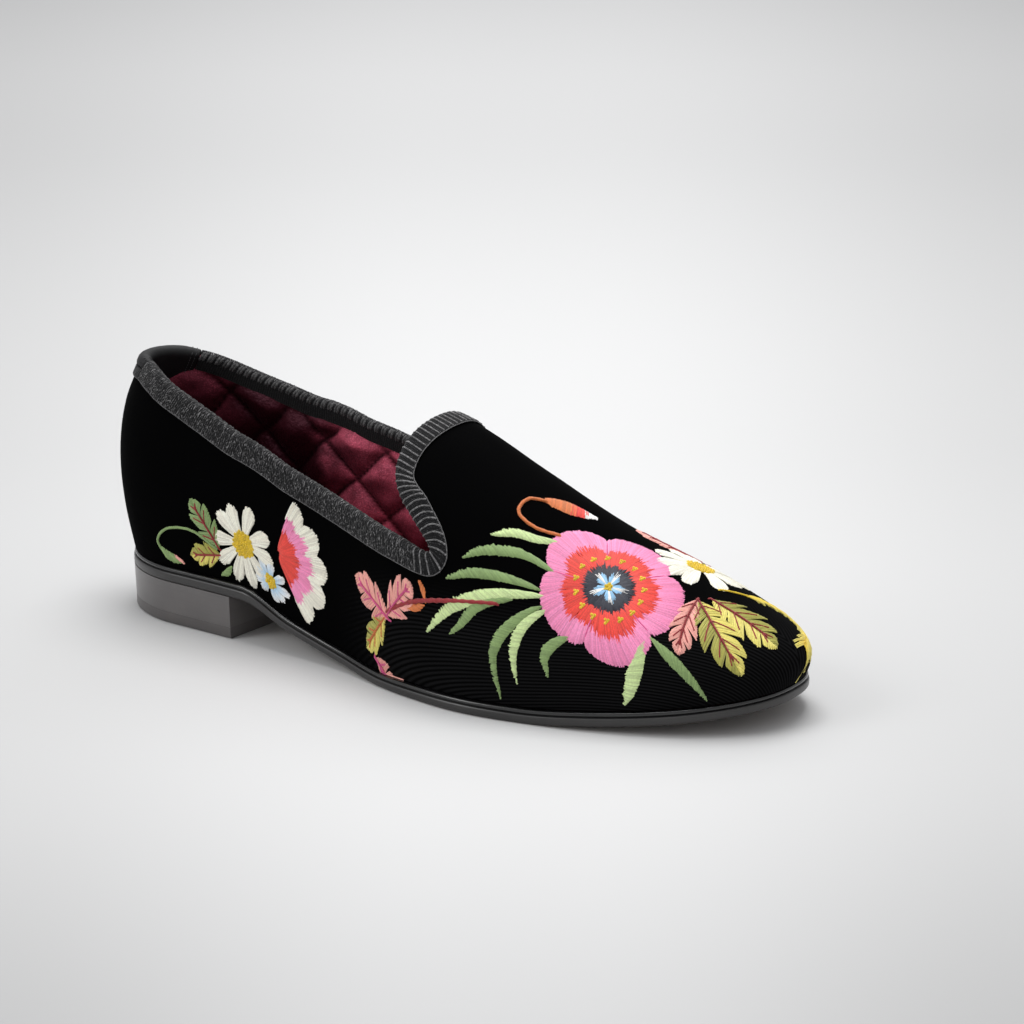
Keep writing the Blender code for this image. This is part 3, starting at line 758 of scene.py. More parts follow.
@dataclass(frozen=True)
class QuiltedSatin(Finish):
    """Burgundy satin, speckled, with painted shade in the hollows along its seams and painted light towards
    the heel, the front of the opening and where the puffs face the key lamp.
    """

    sheen: float = 0.05
    sheen_roughness: float = 0.30
    specular: float = 0.28
    # painted shade: near-black tone of the hollows along the quilting's seams
    deep: Colour = (0.003, 0.0003, 0.0008)
    # lit tone: reached where the painted light and the mottling are both high
    lit_mottled_tone: Colour = (0.80, 0.138, 0.220)
    gloss_tint: Colour = (1.0, 0.35, 0.50)
    sheen_tint: Colour = (1.0, 0.40, 0.55)
    # direction towards the key lamp, for painted light on the puffs that face it
    key_light_aim: tuple[float, float, float] = (0.26, -0.62, 0.74)

    def dress(self, graph: Graph, place: Wire) -> None:
        """Paint shade into the seams' hollows and light along the length and on puffs facing the key lamp;
        add speckle, mottling and creases.
        """
        seam = graph.wire("ShaderNodeAttribute", "Fac", {"attribute_name": "seam"})
        speck = graph.noise(place, 2000.0, 1.0)
        cloud = graph.noise(place, 90.0, 3.0)
        crease = graph.noise(place, 260.0, 3.0, 0.6)
        x = graph.split(place)[0] + 0.030 * cloud
        # painted light: brighter towards the front of the opening and at the heel, darker between
        painted_light_along = (x.step(0.042, 0.066) + x.step(0.014, -0.012) * 0.55).clamp()
        # painted light: brighter where the surface faces the key lamp
        key_light_facing = graph.wire("ShaderNodeVectorMath", "Value", {"operation": "DOT_PRODUCT"},
                            {0: graph.wire("ShaderNodeNewGeometry", "Normal"), 1: self.key_light_aim})
        share = cloud.step(0.30, 0.70) * 0.40 + speck.step(0.45, 0.75) * 0.35 + 0.30
        share = share * (0.04 + 0.96 * painted_light_along)
        share = share * (0.16 + 0.84 * key_light_facing.step(0.25, 0.82))
        tone = graph.mix(share.clamp(), self.colour, self.lit_mottled_tone)
        # painted shade: the colour falls to near black towards the seams' hollows
        graph.shade("Base Color", graph.mix(seam, tone, self.deep))
        graph.shade("Specular Tint", self.gloss_tint)
        graph.shade("Sheen Tint", self.sheen_tint)
        graph.shade("Roughness", self.roughness - 0.08 + 0.2 * cloud)
        self.bump(graph, crease * 0.8 + speck * 0.12, 0.0014, 0.7)


@dataclass(frozen=True)
class GrainLeather(Finish):
    """Leather with a fine pebble and soft wear."""

    pebble: float = 900.0
    depth: float = 0.00009
    worn: Colour = (0.04, 0.04, 0.042)

    def dress(self, graph: Graph, place: Wire) -> None:
        """Add pebble, pores and slow changes of gloss."""
        inputs = {"Vector": place, "Scale": self.pebble, "Randomness": 1.0}
        cells = graph.wire("ShaderNodeTexVoronoi", "Distance", inputs=inputs)
        cloud = graph.noise(place, 70.0, 3.0)
        graph.shade("Base Color", graph.mix(cloud.step(0.4, 0.8) * 0.6, self.colour, self.worn))
        graph.shade("Roughness", self.roughness - 0.08 + 0.2 * cloud)
        self.bump(graph, cells + cloud * 0.3, self.depth, 0.5)


@dataclass(frozen=True)
class StackedEdge(Finish):
    """Burnished edge of leather layers, with faint lines between the layers."""

    layer: float = 0.0032
    line: float = 0.12
    worn: Colour = (0.030, 0.028, 0.027)

    def dress(self, graph: Graph, place: Wire) -> None:
        """Add layer lines, fibres along the edge, and handling marks."""
        _, _, z = graph.split(place)
        fibre = graph.noise(graph.stretch(place, (60.0, 60.0, 2600.0)), 1.0, 3.0)
        cloud = graph.noise(place, 55.0, 3.0)
        line = (z * (2 * math.pi / self.layer)).wave().step(0.985, 1.0)
        share = (cloud.step(0.35, 0.8) * 0.5 + fibre * 0.22 - line * self.line).clamp()
        graph.shade("Base Color", graph.mix(share, self.colour, self.worn))
        graph.shade("Roughness", self.roughness - 0.06 + 0.14 * cloud + 0.12 * fibre)
        self.bump(graph, fibre * 0.25 - line * self.line, 0.00006, 0.4)


@dataclass(frozen=True)
class TreadLeather(Finish):
    """Smooth brown-black leather of the sole's underside."""

    worn: Colour = (0.16, 0.10, 0.06)

    def dress(self, graph: Graph, place: Wire) -> None:
        """Add fibres, pores and light scuffs."""
        fibre = graph.noise(graph.stretch(place, (90.0, 900.0, 900.0)), 1.0)
        pores = graph.noise(place, 1500.0)
        cloud = graph.noise(place, 30.0, 4.0)
        share = (cloud * 0.6 + fibre * 0.3).clamp()
        graph.shade("Base Color", graph.mix(share, self.colour, self.worn))
        graph.shade("Roughness", self.roughness - 0.05 + 0.2 * pores)
        self.bump(graph, fibre + pores * 0.4, 0.00008, 0.4)


@dataclass(frozen=True)
class FloorWithPaintedShade(Finish):
    """Pale paper of the floor, with painted shade to both sides, near the front edge and behind the shoe.

    The turn is in degrees. The middle line's offset and the viewer's distance are in metres.
    """

    turn: float = 34.15
    middle: float = 0.112
    distance: float = 1.10
    side_painted_shade: float = 0.175
    front_painted_shade: float = 0.13
    back_painted_shade: float = 0.05

    def dress(self, graph: Graph, place: Wire) -> None:
        """Paint shade on the paper across its width, towards its front edge and behind the shoe."""
        x, y, _ = graph.split(place)
        cosine, sine = math.cos(math.radians(self.turn)), math.sin(math.radians(self.turn))
        across, away = x * cosine + y * sine - self.middle, y * cosine - x * sine
        # painted shade: the lamps' falloff, darker to both sides of the line of view, near the front edge and
        # behind the shoe
        sides = (across.math("ABSOLUTE") / (away + self.distance).math("MAXIMUM", 0.2)).step(0.02, 0.20)
        share = sides * self.side_painted_shade + away.step(-0.16, -0.40) * self.front_painted_shade
        share = share + away.step(0.0, 0.25) * away.step(1.4, 0.9) * self.back_painted_shade
        graph.shade("Base Color", graph.mix(share, self.colour, (0.0, 0.0, 0.0)))


@dataclass
class Thread:
    """One run of thread: its points, and a colour and half thickness on each."""

    points: Array
    colours: Array
    gauges: Array


def make_object(name: str, mesh: bpy.types.Mesh) -> bpy.types.Object:
    """Link a mesh as an object."""
    piece = bpy.data.objects.new(name, mesh)
    bpy.context.scene.collection.objects.link(piece)
    return piece


def settle(piece: bpy.types.Object, slot: str, *nodes: str) -> bpy.types.Object:
    """Fix a finished piece to the body, hide the CAD nodes it stands for, and report it.

    Args:
        piece: The finished piece.
        slot: Not used.
        nodes: CAD nodes that the piece stands for.

    Returns:
        The piece.
    """
    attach(piece, BODY)
    if nodes:
        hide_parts(*nodes)
    LOG.info("%s: %d faces", piece.name, len(piece.data.polygons))
    return piece


@dataclass
class ThreadWork:
    """Threads that Geometry Nodes turn into tubes.

    The thickness multiplies each thread's gauge, and the fuzz moves each point by up to that length.
    """

    name: str
    finish: Finish
    thickness: float = 1.0
    sides: int = 5
    fuzz: float = 0.00002
    seed: int = 7
    threads: list[Thread] = field(default_factory=list)

    def add(self, points: Array, colour: Array | Colour, gauge: Array | float) -> None:
        """Add one thread.

        Args:
            points: Its points.
            colour: One colour, or one for each point.
            gauge: Its half thickness, or one for each point.
        """
        colours = np.broadcast_to(np.asarray(colour, float), (len(points), 3))
        gauges = np.broadcast_to(np.asarray(gauge, float), (len(points),))
        self.threads.append(Thread(np.asarray(points), colours, gauges))

    def tree(self) -> bpy.types.NodeTree:
        """Return the node group that makes the tubes."""
        group = bpy.data.node_groups.new(self.name + "_tubes", "GeometryNodeTree")
        sockets = {"Lines": "Geometry", "Thickness": "Float", "Sides": "Int", "Fuzz": "Float", "Seed": "Int",
                   "Finish": "Material"}
        for label, kind in sockets.items():
            group.interface.new_socket(label, in_out="INPUT", socket_type="NodeSocket" + kind)
        group.interface.new_socket("Tubes", in_out="OUTPUT", socket_type="NodeSocketGeometry")
        graph = Graph(group)
        given = graph.node("NodeGroupInput").outputs
        curves = graph.wire("GeometryNodeMeshToCurve", inputs={0: given["Lines"]})
        low, high = [graph.wire("ShaderNodeVectorMath", 0, {"operation": "SCALE"},
                                {0: (sign, sign, sign), "Scale": given["Fuzz"]}) for sign in (-1.0, 1.0)]
        shake = graph.wire("FunctionNodeRandomValue", 0, {"data_type": "FLOAT_VECTOR"},
                           {0: low, 1: high, "Seed": given["Seed"]})
        moved = graph.wire("GeometryNodeSetPosition", inputs={"Geometry": curves, "Offset": shake})
        gauge = graph.wire("GeometryNodeInputNamedAttribute", 0, {"data_type": "FLOAT"}, {0: "gauge"})
        radius = gauge * Wire(graph, given["Thickness"])
        ring = graph.wire("GeometryNodeCurvePrimitiveCircle",
                          inputs={"Resolution": given["Sides"], "Radius": 1.0})
        tubes = graph.wire("GeometryNodeCurveToMesh", inputs={
            "Curve": moved, "Profile Curve": ring, "Scale": radius, "Fill Caps": True})
        smooth = graph.wire("GeometryNodeSetShadeSmooth", inputs={0: tubes})
        real = graph.wire("GeometryNodeRealizeInstances", inputs={0: smooth})
        dressed = graph.wire("GeometryNodeSetMaterial", inputs={0: real, "Material": given["Finish"]})
        graph.node("NodeGroupOutput", inputs={0: dressed})
        return group

    def build(self) -> bpy.types.Object:
        """Turn the threads into one mesh."""
        counts = [len(thread.points) for thread in self.threads]
        firsts = np.concatenate([[0], np.cumsum(counts)[:-1]])
        edges = [(int(first) + k, int(first) + k + 1)
                 for first, count in zip(firsts, counts) for k in range(count - 1)]
        lines = bpy.data.meshes.new(self.name + "_lines")
        lines.from_pydata(np.concatenate([t.points for t in self.threads]).tolist(), edges, [])
        colours = np.concatenate([t.colours for t in self.threads])
        yarn = lines.attributes.new("yarn", "FLOAT_COLOR", "POINT")
        yarn.data.foreach_set("color", np.hstack([colours, np.ones((len(colours), 1))]).ravel())
        gauge = lines.attributes.new("gauge", "FLOAT", "POINT")
        gauge.data.foreach_set("value", np.concatenate([t.gauges for t in self.threads]))
        carrier = make_object(self.name + "_carrier", lines)
        modifier = carrier.modifiers.new("tubes", "NODES")
        group = self.tree()
        modifier.node_group = group
        values = {"Thickness": self.thickness, "Sides": self.sides, "Fuzz": self.fuzz, "Seed": self.seed,
                  "Finish": self.finish.build()}
        for item in group.interface.items_tree:
            if item.in_out == "INPUT" and item.name in values:
                modifier[item.identifier] = values[item.name]
        bpy.context.view_layer.update()
        depsgraph = bpy.context.evaluated_depsgraph_get()
        mesh = bpy.data.meshes.new_from_object(carrier.evaluated_get(depsgraph), depsgraph=depsgraph)
        bpy.data.objects.remove(carrier)
        mesh.name = self.name
        return make_object(self.name, mesh)


def grid_faces(columns: int, rows: int, closed_columns: bool, closed_rows: bool) -> list[tuple[int, ...]]:
    """Return the faces of a grid that is counted down each column in turn."""
    faces = []
    for column in range(columns if closed_columns else columns - 1):
        near, far = column * rows, (column + 1) % columns * rows
        for row in range(rows if closed_rows else rows - 1):
            after = (row + 1) % rows
            faces.append((near + row, near + after, far + after, far + row))
    return faces


def make_piece(name: str, points: Array, faces: list[tuple[int, ...]], finish: Finish,
               seam: Array | None = None, lengths: Array | None = None,
               sharp: float = 60.0) -> bpy.types.Object:
    """Make a mesh piece with its faces turned outward.

    Args:
        name: The piece's name.
        points: Its points.
        faces: Its faces, as numbers of points.
        finish: Its finish.
        seam: For each point, 1 on a sewn seam, falling to 0 off it; the satin paints shade there.
        lengths: Lengths along and across a strip, for its UV map.
        sharp: Degrees past which an edge stays sharp.

    Returns:
        The object.
    """
    mesh = bpy.data.meshes.new(name)
    mesh.from_pydata(points.tolist(), [], faces)
    shape = bmesh.new()
    shape.from_mesh(mesh)
    bmesh.ops.recalc_face_normals(shape, faces=shape.faces)
    shape.to_mesh(mesh)
    shape.free()
    if seam is not None:
        mesh.attributes.new("seam", "FLOAT", "POINT").data.foreach_set("value", seam.astype(np.float32))
    if lengths is not None:
        layer = mesh.uv_layers.new(name="strip")
        corner = np.empty(len(mesh.loops), dtype=np.int32)
        mesh.loops.foreach_get("vertex_index", corner)
        layer.data.foreach_set("uv", lengths[corner].astype(np.float32).ravel())
    mesh.materials.append(finish.build())
    mesh.shade_smooth()
    mesh.set_sharp_from_angle(angle=math.radians(sharp))
    return make_object(name, mesh)


def sweep(name: str, sections: Array, finish: Finish, closed: bool, lengths: Array | None = None,
          seam: Array | None = None, sharp: float = 60.0) -> bpy.types.Object:
    """Make a solid through closed sections, as a ring or with an end cap at each end."""
    count, size = sections.shape[:2]
    faces = grid_faces(count, size, closed, True)
    if not closed:
        faces.append(tuple(range(size)))
        faces.append(tuple(range((count - 1) * size, count * size)))
    return make_piece(name, sections.reshape(-1, 3), faces, finish, seam, lengths, sharp)


def slab(name: str, rings: Array, finish: Finish, sharp: float = 40.0) -> bpy.types.Object:
    """Make a solid from rings, lowest first, closed across at both ends."""
    levels, count = rings.shape[:2]
    faces = grid_faces(levels, count, False, True)
    for base in (0, (levels - 1) * count):
        near, far = 0, 1
        while near + 1 < count - far:
            corners = (base + near, base + near + 1, base + (count - far) % count, base + (1 - far) % count)
            faces.append(tuple(dict.fromkeys(corners)))
            near, far = near + 1, far + 1
        if near + 1 == count - far:
            faces.append((base + near, base + near + 1, base + (1 - far) % count))
    return make_piece(name, rings.reshape(-1, 3), faces, finish, sharp=sharp)


def quilt(along: Array, across: Array, pitch: float) -> tuple[Array, Array]:
    """Return the height of quilted padding, 0 to 1, and how close its seams are.

    Args:
        along: Lengths along the piece.
        across: Lengths across it.
        pitch: Width of a diamond.

    Returns:
        The height, and 1 on a seam falling to 0 off it.
    """
    first = np.abs(np.sin(math.pi * (along + across) / pitch))
    second = np.abs(np.sin(math.pi * (along - across) / pitch))
    nearest = np.minimum(first, second)
    return (first * second) ** 0.55, 1.0 - ease(nearest, 0.02, 0.20)


def ripple(along: Array, across: Array) -> Array:
    """Return soft folds of loose cloth, about -1 to 1."""
    one = np.sin(along * 210.0 + 2.0 * np.sin(across * 95.0))
    two = np.sin(across * 260.0 - along * 130.0 + 1.5 * np.sin(along * 70.0))
    return 0.55 * one + 0.45 * two


@dataclass
class Upper:
    """Velvet shell and quilted lining.

    The sway is how far the quilting's seams wander, and the stretch widens the pattern in height. The
    fades are the depths below the top edge, and the heights over the sock, where the puffs begin.
    """

    last: Last
    shell: float = 0.0012
    clearance: float = 0.0001
    puff: float = 0.0036
    sway: float = 0.0011
    stretch: float = 1.15
    back_crowding: float = 0.05
    fold_scale: float = 1.7
    top_fade: tuple[float, float] = (0.0035, 0.010)
    seat_fade: tuple[float, float] = (0.0005, 0.006)
    diamond: float = 0.0295
    handle: float = 0.26
    velvet: VelvetPile = VelvetPile("velvet_pile", (0.0006, 0.0006, 0.0007), 0.95, sheen=0.008,
                                    sheen_roughness=0.30, specular=0.015)
    satin: QuiltedSatin = QuiltedSatin("burgundy_satin", (0.009, 0.0006, 0.0018), 0.42)

    def build(self) -> None:
        """Build both layers."""
        self.build_shell()
        self.build_lining()

    def build_shell(self) -> None:
        """Build the velvet, from its outer face to the lining."""
        surface = UpperSurface(self.last, Cut(per_step=6, rows=44, handle=self.handle))
        inner = surface.outer - self.shell * surface.normal
        sections = np.concatenate([surface.outer, inner[:, ::-1]], axis=1)
        lengths = np.concatenate([surface.unrolled, surface.unrolled[:, ::-1]], axis=1).reshape(-1, 2)
        piece = sweep("velvet_shell", sections, self.velvet, True, lengths, sharp=70.0)
        settle(piece, "velvet", "upper")

    def build_lining(self) -> None:
        """Build the lining, puffed between its diagonal seams."""
        last = self.last
        surface = UpperSurface(self.last, Cut(per_step=14, rows=62, crowding=1.0, handle=self.handle))
        back = surface.outer - (self.shell + self.clearance) * surface.normal
        face = surface.outer - last.wall * surface.normal
        face[:, -1] = surface.rim
        length = surface.arc[:-1, None] * np.ones_like(surface.depth)
        station = np.clip(last.station_at(face[..., 0]), 0, 1)
        unrolled = last.length * np.sqrt(station ** 2 + self.back_crowding * station)
        sway = self.sway * ripple(unrolled, face[..., 2])
        height, seam = quilt(unrolled + sway, face[..., 2] * self.stretch - sway, self.diamond)
        over = face[..., 2] - (last.upper_seat(face[..., 0]) + last.insole_rise)
        room = ease(over, *self.seat_fade) * ease(surface.depth, *self.top_fade)
        folds = ripple(length * self.fold_scale, surface.depth * self.fold_scale)
        puff = self.puff * room * (height * (1.0 + 0.16 * folds) + 0.10 * folds * (1.0 - height))
        face = face - np.maximum(puff, 0.0)[..., None] * surface.normal
        sections = np.concatenate([face, back[:, ::-1]], axis=1)
        # the seam marks carry painted shade into the hollows along the seams
        marks = np.concatenate([seam * room, np.zeros_like(seam)], axis=1)
        piece = sweep("quilted_lining", sections, self.satin, True, seam=marks.ravel(), sharp=80.0)
        settle(piece, "lining", "upper")


@dataclass
class Sock:
    """Padded sock on the insole.

    The slopes turn shares across and along the sock into lengths from its edge, over which the puffs begin.
    """

    last: Last
    stations: int = 170
    across: int = 64
    end_share: float = 0.03
    side_slope: float = 0.08
    end_slope: float = 0.35
    end_inset: float = 0.010
    edge_fade: float = 0.005
    puff: float = 0.0012
    sunk: float = 0.0010
    diamond: float = 0.0295
    satin: QuiltedSatin = QuiltedSatin("sock_satin", (0.012, 0.0008, 0.0024), 0.44)

    def build(self) -> None:
        """Build the pad as a closed shell between the walls of the upper."""
        last = self.last
        share = np.linspace(self.end_share, 1.0 - self.end_share, self.stations)
        station = (1.0 - np.cos(math.pi * share)) / 2
        inset = -(last.wall + 1.5 * GAP)
        left, right = [np.stack(last.feather_line(station, side, inset), axis=-1) for side in Side]
        spread = (1.0 - np.cos(math.pi * np.linspace(0.0, 1.0, self.across)))[None, :, None] / 2
        plan = left[:, None] * (1 - spread) + right[:, None] * spread
        x, y = plan[..., 0], plan[..., 1]
        height, seam = quilt(x, y, self.diamond)
        rim = np.minimum(spread[..., 0], 1 - spread[..., 0]) * self.side_slope
        end = np.minimum(share, 1 - share)[:, None] * self.end_slope - self.end_inset
        edge = ease(np.minimum(rim, np.maximum(end, 0.0)), 0.0, self.edge_fade)
        top = last.upper_seat(x) + last.insole_rise - self.sunk + edge * (self.sunk + self.puff * height)
        bottom = last.sole_top(x) + GAP
        points = np.concatenate([np.stack([x, y, z], axis=-1).reshape(-1, 3) for z in (top, bottom)])
        rows, columns = self.across, self.stations
        count = rows * columns
        faces = grid_faces(columns, rows, False, False)
        faces += [tuple(corner + count for corner in face[::-1]) for face in faces]
        border = list(range(rows)) + [c * rows + rows - 1 for c in range(1, columns)]
        border += [(columns - 1) * rows + k for k in range(rows - 2, -1, -1)]
        border += [c * rows for c in range(columns - 2, 0, -1)]
        for here, there in zip(border, border[1:] + border[:1]):
            faces.append((here, there, there + count, here + count))
        # the seam marks carry painted shade into the hollows along the seams
        marks = np.concatenate([(seam * edge).ravel(), np.zeros(count)])
        piece = make_piece("sock_pad", points, faces, self.satin, marks, sharp=70.0)
        settle(piece, "lining", "insole")


@dataclass
class Binding:
    """Ribbed ribbon folded over the top edge.

    A pitch is the distance from rib to rib, and a gauge is half the thickness of a thread. The margin is
    how far a rib ends from the ribbon's edge, and the sink how deep the fine threads lie in its face.
    """

    surface: UpperSurface
    outer_leg: float = 0.0066
    inner_leg: float = 0.0060
    thickness: float = 0.0008
    tab_length: float = 0.041
    tongue_pitch: float = 0.00255
    dash_places: tuple[float, ...] = (0.33, 0.64)
    face_pitch: float = 0.00086
    roll_pitch: float = 0.00330
    roll_apart: float = 0.00058
    roll_slant: float = 0.0006
    inside_pitch: float = 0.00100
    edge_pitch: float = 0.0012
    roll_start: float = 0.0019
    margin: float = 0.0003
    sink: float = 0.00012
    rib_gauge: float = 0.00034
    edge_gauge: float = 0.00022
    tongue_row: float = 9.6
    uv_scale: float = 100.0
    seed: int = 11
    grey: Colour = (1.0, 0.98, 0.99)
    ground: KnitGround = KnitGround("ribbon_ground", (0.0035, 0.0035, 0.004), 0.92, sheen=0.05, specular=0.2)
    cord: ColouredYarn = ColouredYarn("ribbon_yarn", (0.10, 0.10, 0.105), 0.85, sheen=0.10, shade=0.6,
                                      specular=0.25)

    def build(self) -> None:
        """Build the ribbon, its stretch behind the tab, and its ribs."""
        self.build_strip()
        self.build_back()
        self.build_ribs()

    def _strip(self, name: str, arcs: Array, reach: Array, thick: float) -> bpy.types.Object:
        """Make a strip of the ribbon's ground from its reaches over the fold."""
        edge = np.full(len(reach), 1.0)
        edge[0] = edge[-1] = 0.55
        sections = np.array([self.surface.section(arc, reach, thick * edge) for arc in arcs])
        around = np.concatenate([reach, reach[::-1]])
        lengths = [np.stack([np.full(len(around), arc), around], axis=-1) for arc in arcs]
        return sweep(name, sections, self.ground, False, np.concatenate(lengths) * self.uv_scale)

    def build_strip(self) -> None:
        """Build the ribbon's ground from tab to tab."""
        first = self.tab_length / 2 + GAP / 2
        arcs = np.linspace(first, self.surface.girth - first, 420)
        reach = self.surface.reaches(self.outer_leg, self.inner_leg, (9, 9, 8))
        piece = self._strip("topline_ribbon", arcs, reach, self.thickness - 0.0002)
        settle(piece, "grosgrain", "topline_binding")

    def build_back(self) -> None:
        """Build the flat stretch of ribbon below the tab."""
        half = self.tab_length / 2 - GAP / 2
        reach = np.linspace(-self.outer_leg, -0.0025, 8)
        piece = self._strip("back_ribbon", np.linspace(-half, half, 44), reach, self.thickness - 0.0001)
        settle(piece, "grosgrain", "back_binding")

    def build_ribs(self) -> None:
        """Lay the ribs: strong ones round the tongue, a fine knit and a rolled edge along the sides."""
        work = ThreadWork("ribbon_ribs", self.cord, sides=5, fuzz=0.00004)
        rng = np.random.default_rng(self.seed)
        surface, base = self.surface, self.thickness
        first = self.tab_length / 2 + 0.0006
        start, finish = [surface.arc_of_row(self.tongue_row, side) for side in Side]
        light, mid, dark = np.outer((0.22, 0.112, 0.007), self.grey)
        shares, odds = [0.15, 0.5, 1.1, 2.1], [0.3, 0.28, 0.27, 0.15]
        outer, inner = -self.outer_leg + self.margin, surface.turn + self.inner_leg - 0.0006
        for arc in np.arange(start, finish, self.tongue_pitch):
            tone = light * rng.uniform(0.55, 1.15, (24, 1))
            work.add(surface.fold(arc, np.linspace(outer, inner, 24), base), tone, self.rib_gauge)
            reach = np.linspace(-self.outer_leg + 2 * self.margin, inner, 26)
            for place in self.dash_places:
                gaps = (np.arange(26) + rng.integers(3)) % 3 == 0
                dashes = np.where(gaps[:, None], dark, mid * rng.uniform(0.9, 1.7))
                line = surface.fold(arc + self.tongue_pitch * place, reach, base - 0.00014)
                work.add(line, dashes, 0.00024)
        swell = 1.0 - np.linspace(-1.0, 1.0, 9) ** 4
        for low, high in ((first, start), (finish, surface.girth - first)):
            for arc in np.arange(low, high, self.face_pitch):
                heather = mid * rng.choice(shares, size=(19, 1), p=odds)
                wobble, gauge = 0.00016 * rng.standard_normal(19), rng.uniform(0.00024, 0.00040, 19)
                line = surface.fold(arc + wobble, np.linspace(outer, 0.0026, 19), base - self.sink)
                work.add(line, heather, gauge)
            for arc in np.arange(low, high, self.roll_pitch):
                for twin in (-self.roll_apart, self.roll_apart):
                    reach = np.linspace(self.roll_start, surface.turn + 0.0012, 9)
                    # besides random tone, each strand darkens towards its ends: painted shade where it dips
                    # into the rolled edge
                    tone = mid * rng.uniform(0.25, 1.05, (9, 1)) * (0.25 + 0.75 * swell[:, None])
                    shift = np.linspace(-self.roll_slant, self.roll_slant, 9) + twin
                    line = surface.fold(arc + shift, reach, base - 0.0003)
                    work.add(line, tone, self.rib_gauge + 0.00042 * swell)
            for arc in np.arange(low, high, self.inside_pitch):
                reach = np.linspace(surface.turn + 0.0016, inner, 5)
                # the inner leg's threads take the dark tone: painted shade inside the opening
                work.add(surface.fold(arc, reach, base - 0.0002), dark, 0.00040)
        arcs = np.arange(first, surface.girth - first, self.edge_pitch)
        work.add(surface.fold(arcs, -self.outer_leg, base * 0.7), mid * 1.5, self.edge_gauge)
        # the inner edge thread is dark too: painted shade inside the opening
        work.add(surface.fold(arcs, inner + 0.0004, base * 0.7), dark, 0.0003)
        arcs = np.linspace(-self.tab_length / 2 + 0.0005, self.tab_length / 2 - 0.0005, 36)
        for arc in arcs:
            heather = mid * rng.choice(shares, size=(6, 1), p=odds)
            line = surface.fold(arc, np.linspace(outer, -0.0028, 6), base - self.sink)
            work.add(line, heather, self.rib_gauge)
        work.add(surface.fold(arcs, -self.outer_leg, base * 0.7), mid * 1.5, self.edge_gauge)
        settle(work.build(), "grosgrain")


@dataclass
class HeelTab:
    """Leather tab folded over the top edge at the back, with its end seams."""

    surface: UpperSurface
    length: float = 0.041
    thickness: float = 0.0012
    outer_leg: float = 0.0022
    inner_leg: float = 0.0120
    lip: float = 0.0009
    end_round: float = 0.0010
    seam_offsets: tuple[float, ...] = (0.0017, 0.0034)
    leather: GrainLeather = GrainLeather("tab_leather", (0.006, 0.006, 0.0065), 0.56, coat=0.0, specular=0.22,
                                         worn=(0.014, 0.014, 0.015))
    seam: ColouredYarn = ColouredYarn("tab_thread", (0.02, 0.02, 0.02), 0.6)

    def build(self) -> None:
        """Build the tab and its seams."""
        surface, half = self.surface, self.length / 2 - GAP / 2
        arcs = half * np.sin(np.linspace(-math.pi / 2, math.pi / 2, 60))
        reach = surface.reaches(self.outer_leg, self.inner_leg, (6, 13, 13))
        lip = np.minimum(reach - reach[0], reach[-1] - reach)
        across = np.sqrt(np.clip(1.0 - (1.0 - np.clip(lip / self.lip, 0, 1)) ** 2, 0.05, 1.0))
        loops = []
        for arc in arcs:
            inset = half - abs(arc)
            end = np.clip(inset / self.end_round, 0.0, 1.0)
            level = math.sqrt(max(1.0 - (1.0 - end) ** 2, 0.10))
            loops.append(surface.section(arc, reach, (self._level(inset) - 0.0001) * across * level))
        piece = sweep("heel_tab_cover", np.array(loops), self.leather, False, sharp=75.0)
        settle(piece, "tab_leather", "heel_tab")
        work = ThreadWork("tab_seams", self.seam, sides=5)
        line = np.linspace(-self.outer_leg + 0.0004, surface.turn + self.inner_leg - 0.0006, 30)
        for offset in self.seam_offsets:
            lift = GAP + self._level(offset) + 0.0001 * np.array((-1.5, 1.0, 1.0, -1.5))
            for arc in (offset - half, half - offset):
                for here, there in zip(line[:-1:2], line[1::2]):
                    stitch = surface.fold(arc, np.linspace(here, there, 4), lift)
                    work.add(stitch, (0.03, 0.03, 0.032), 0.00016)
        settle(work.build(), "tab_leather")

    def _level(self, inset: float) -> float:
        """Return the tab's thickness at a distance from its end."""
        return self.thickness * (0.62 + 0.38 * ease(inset, 0.0, 0.008))


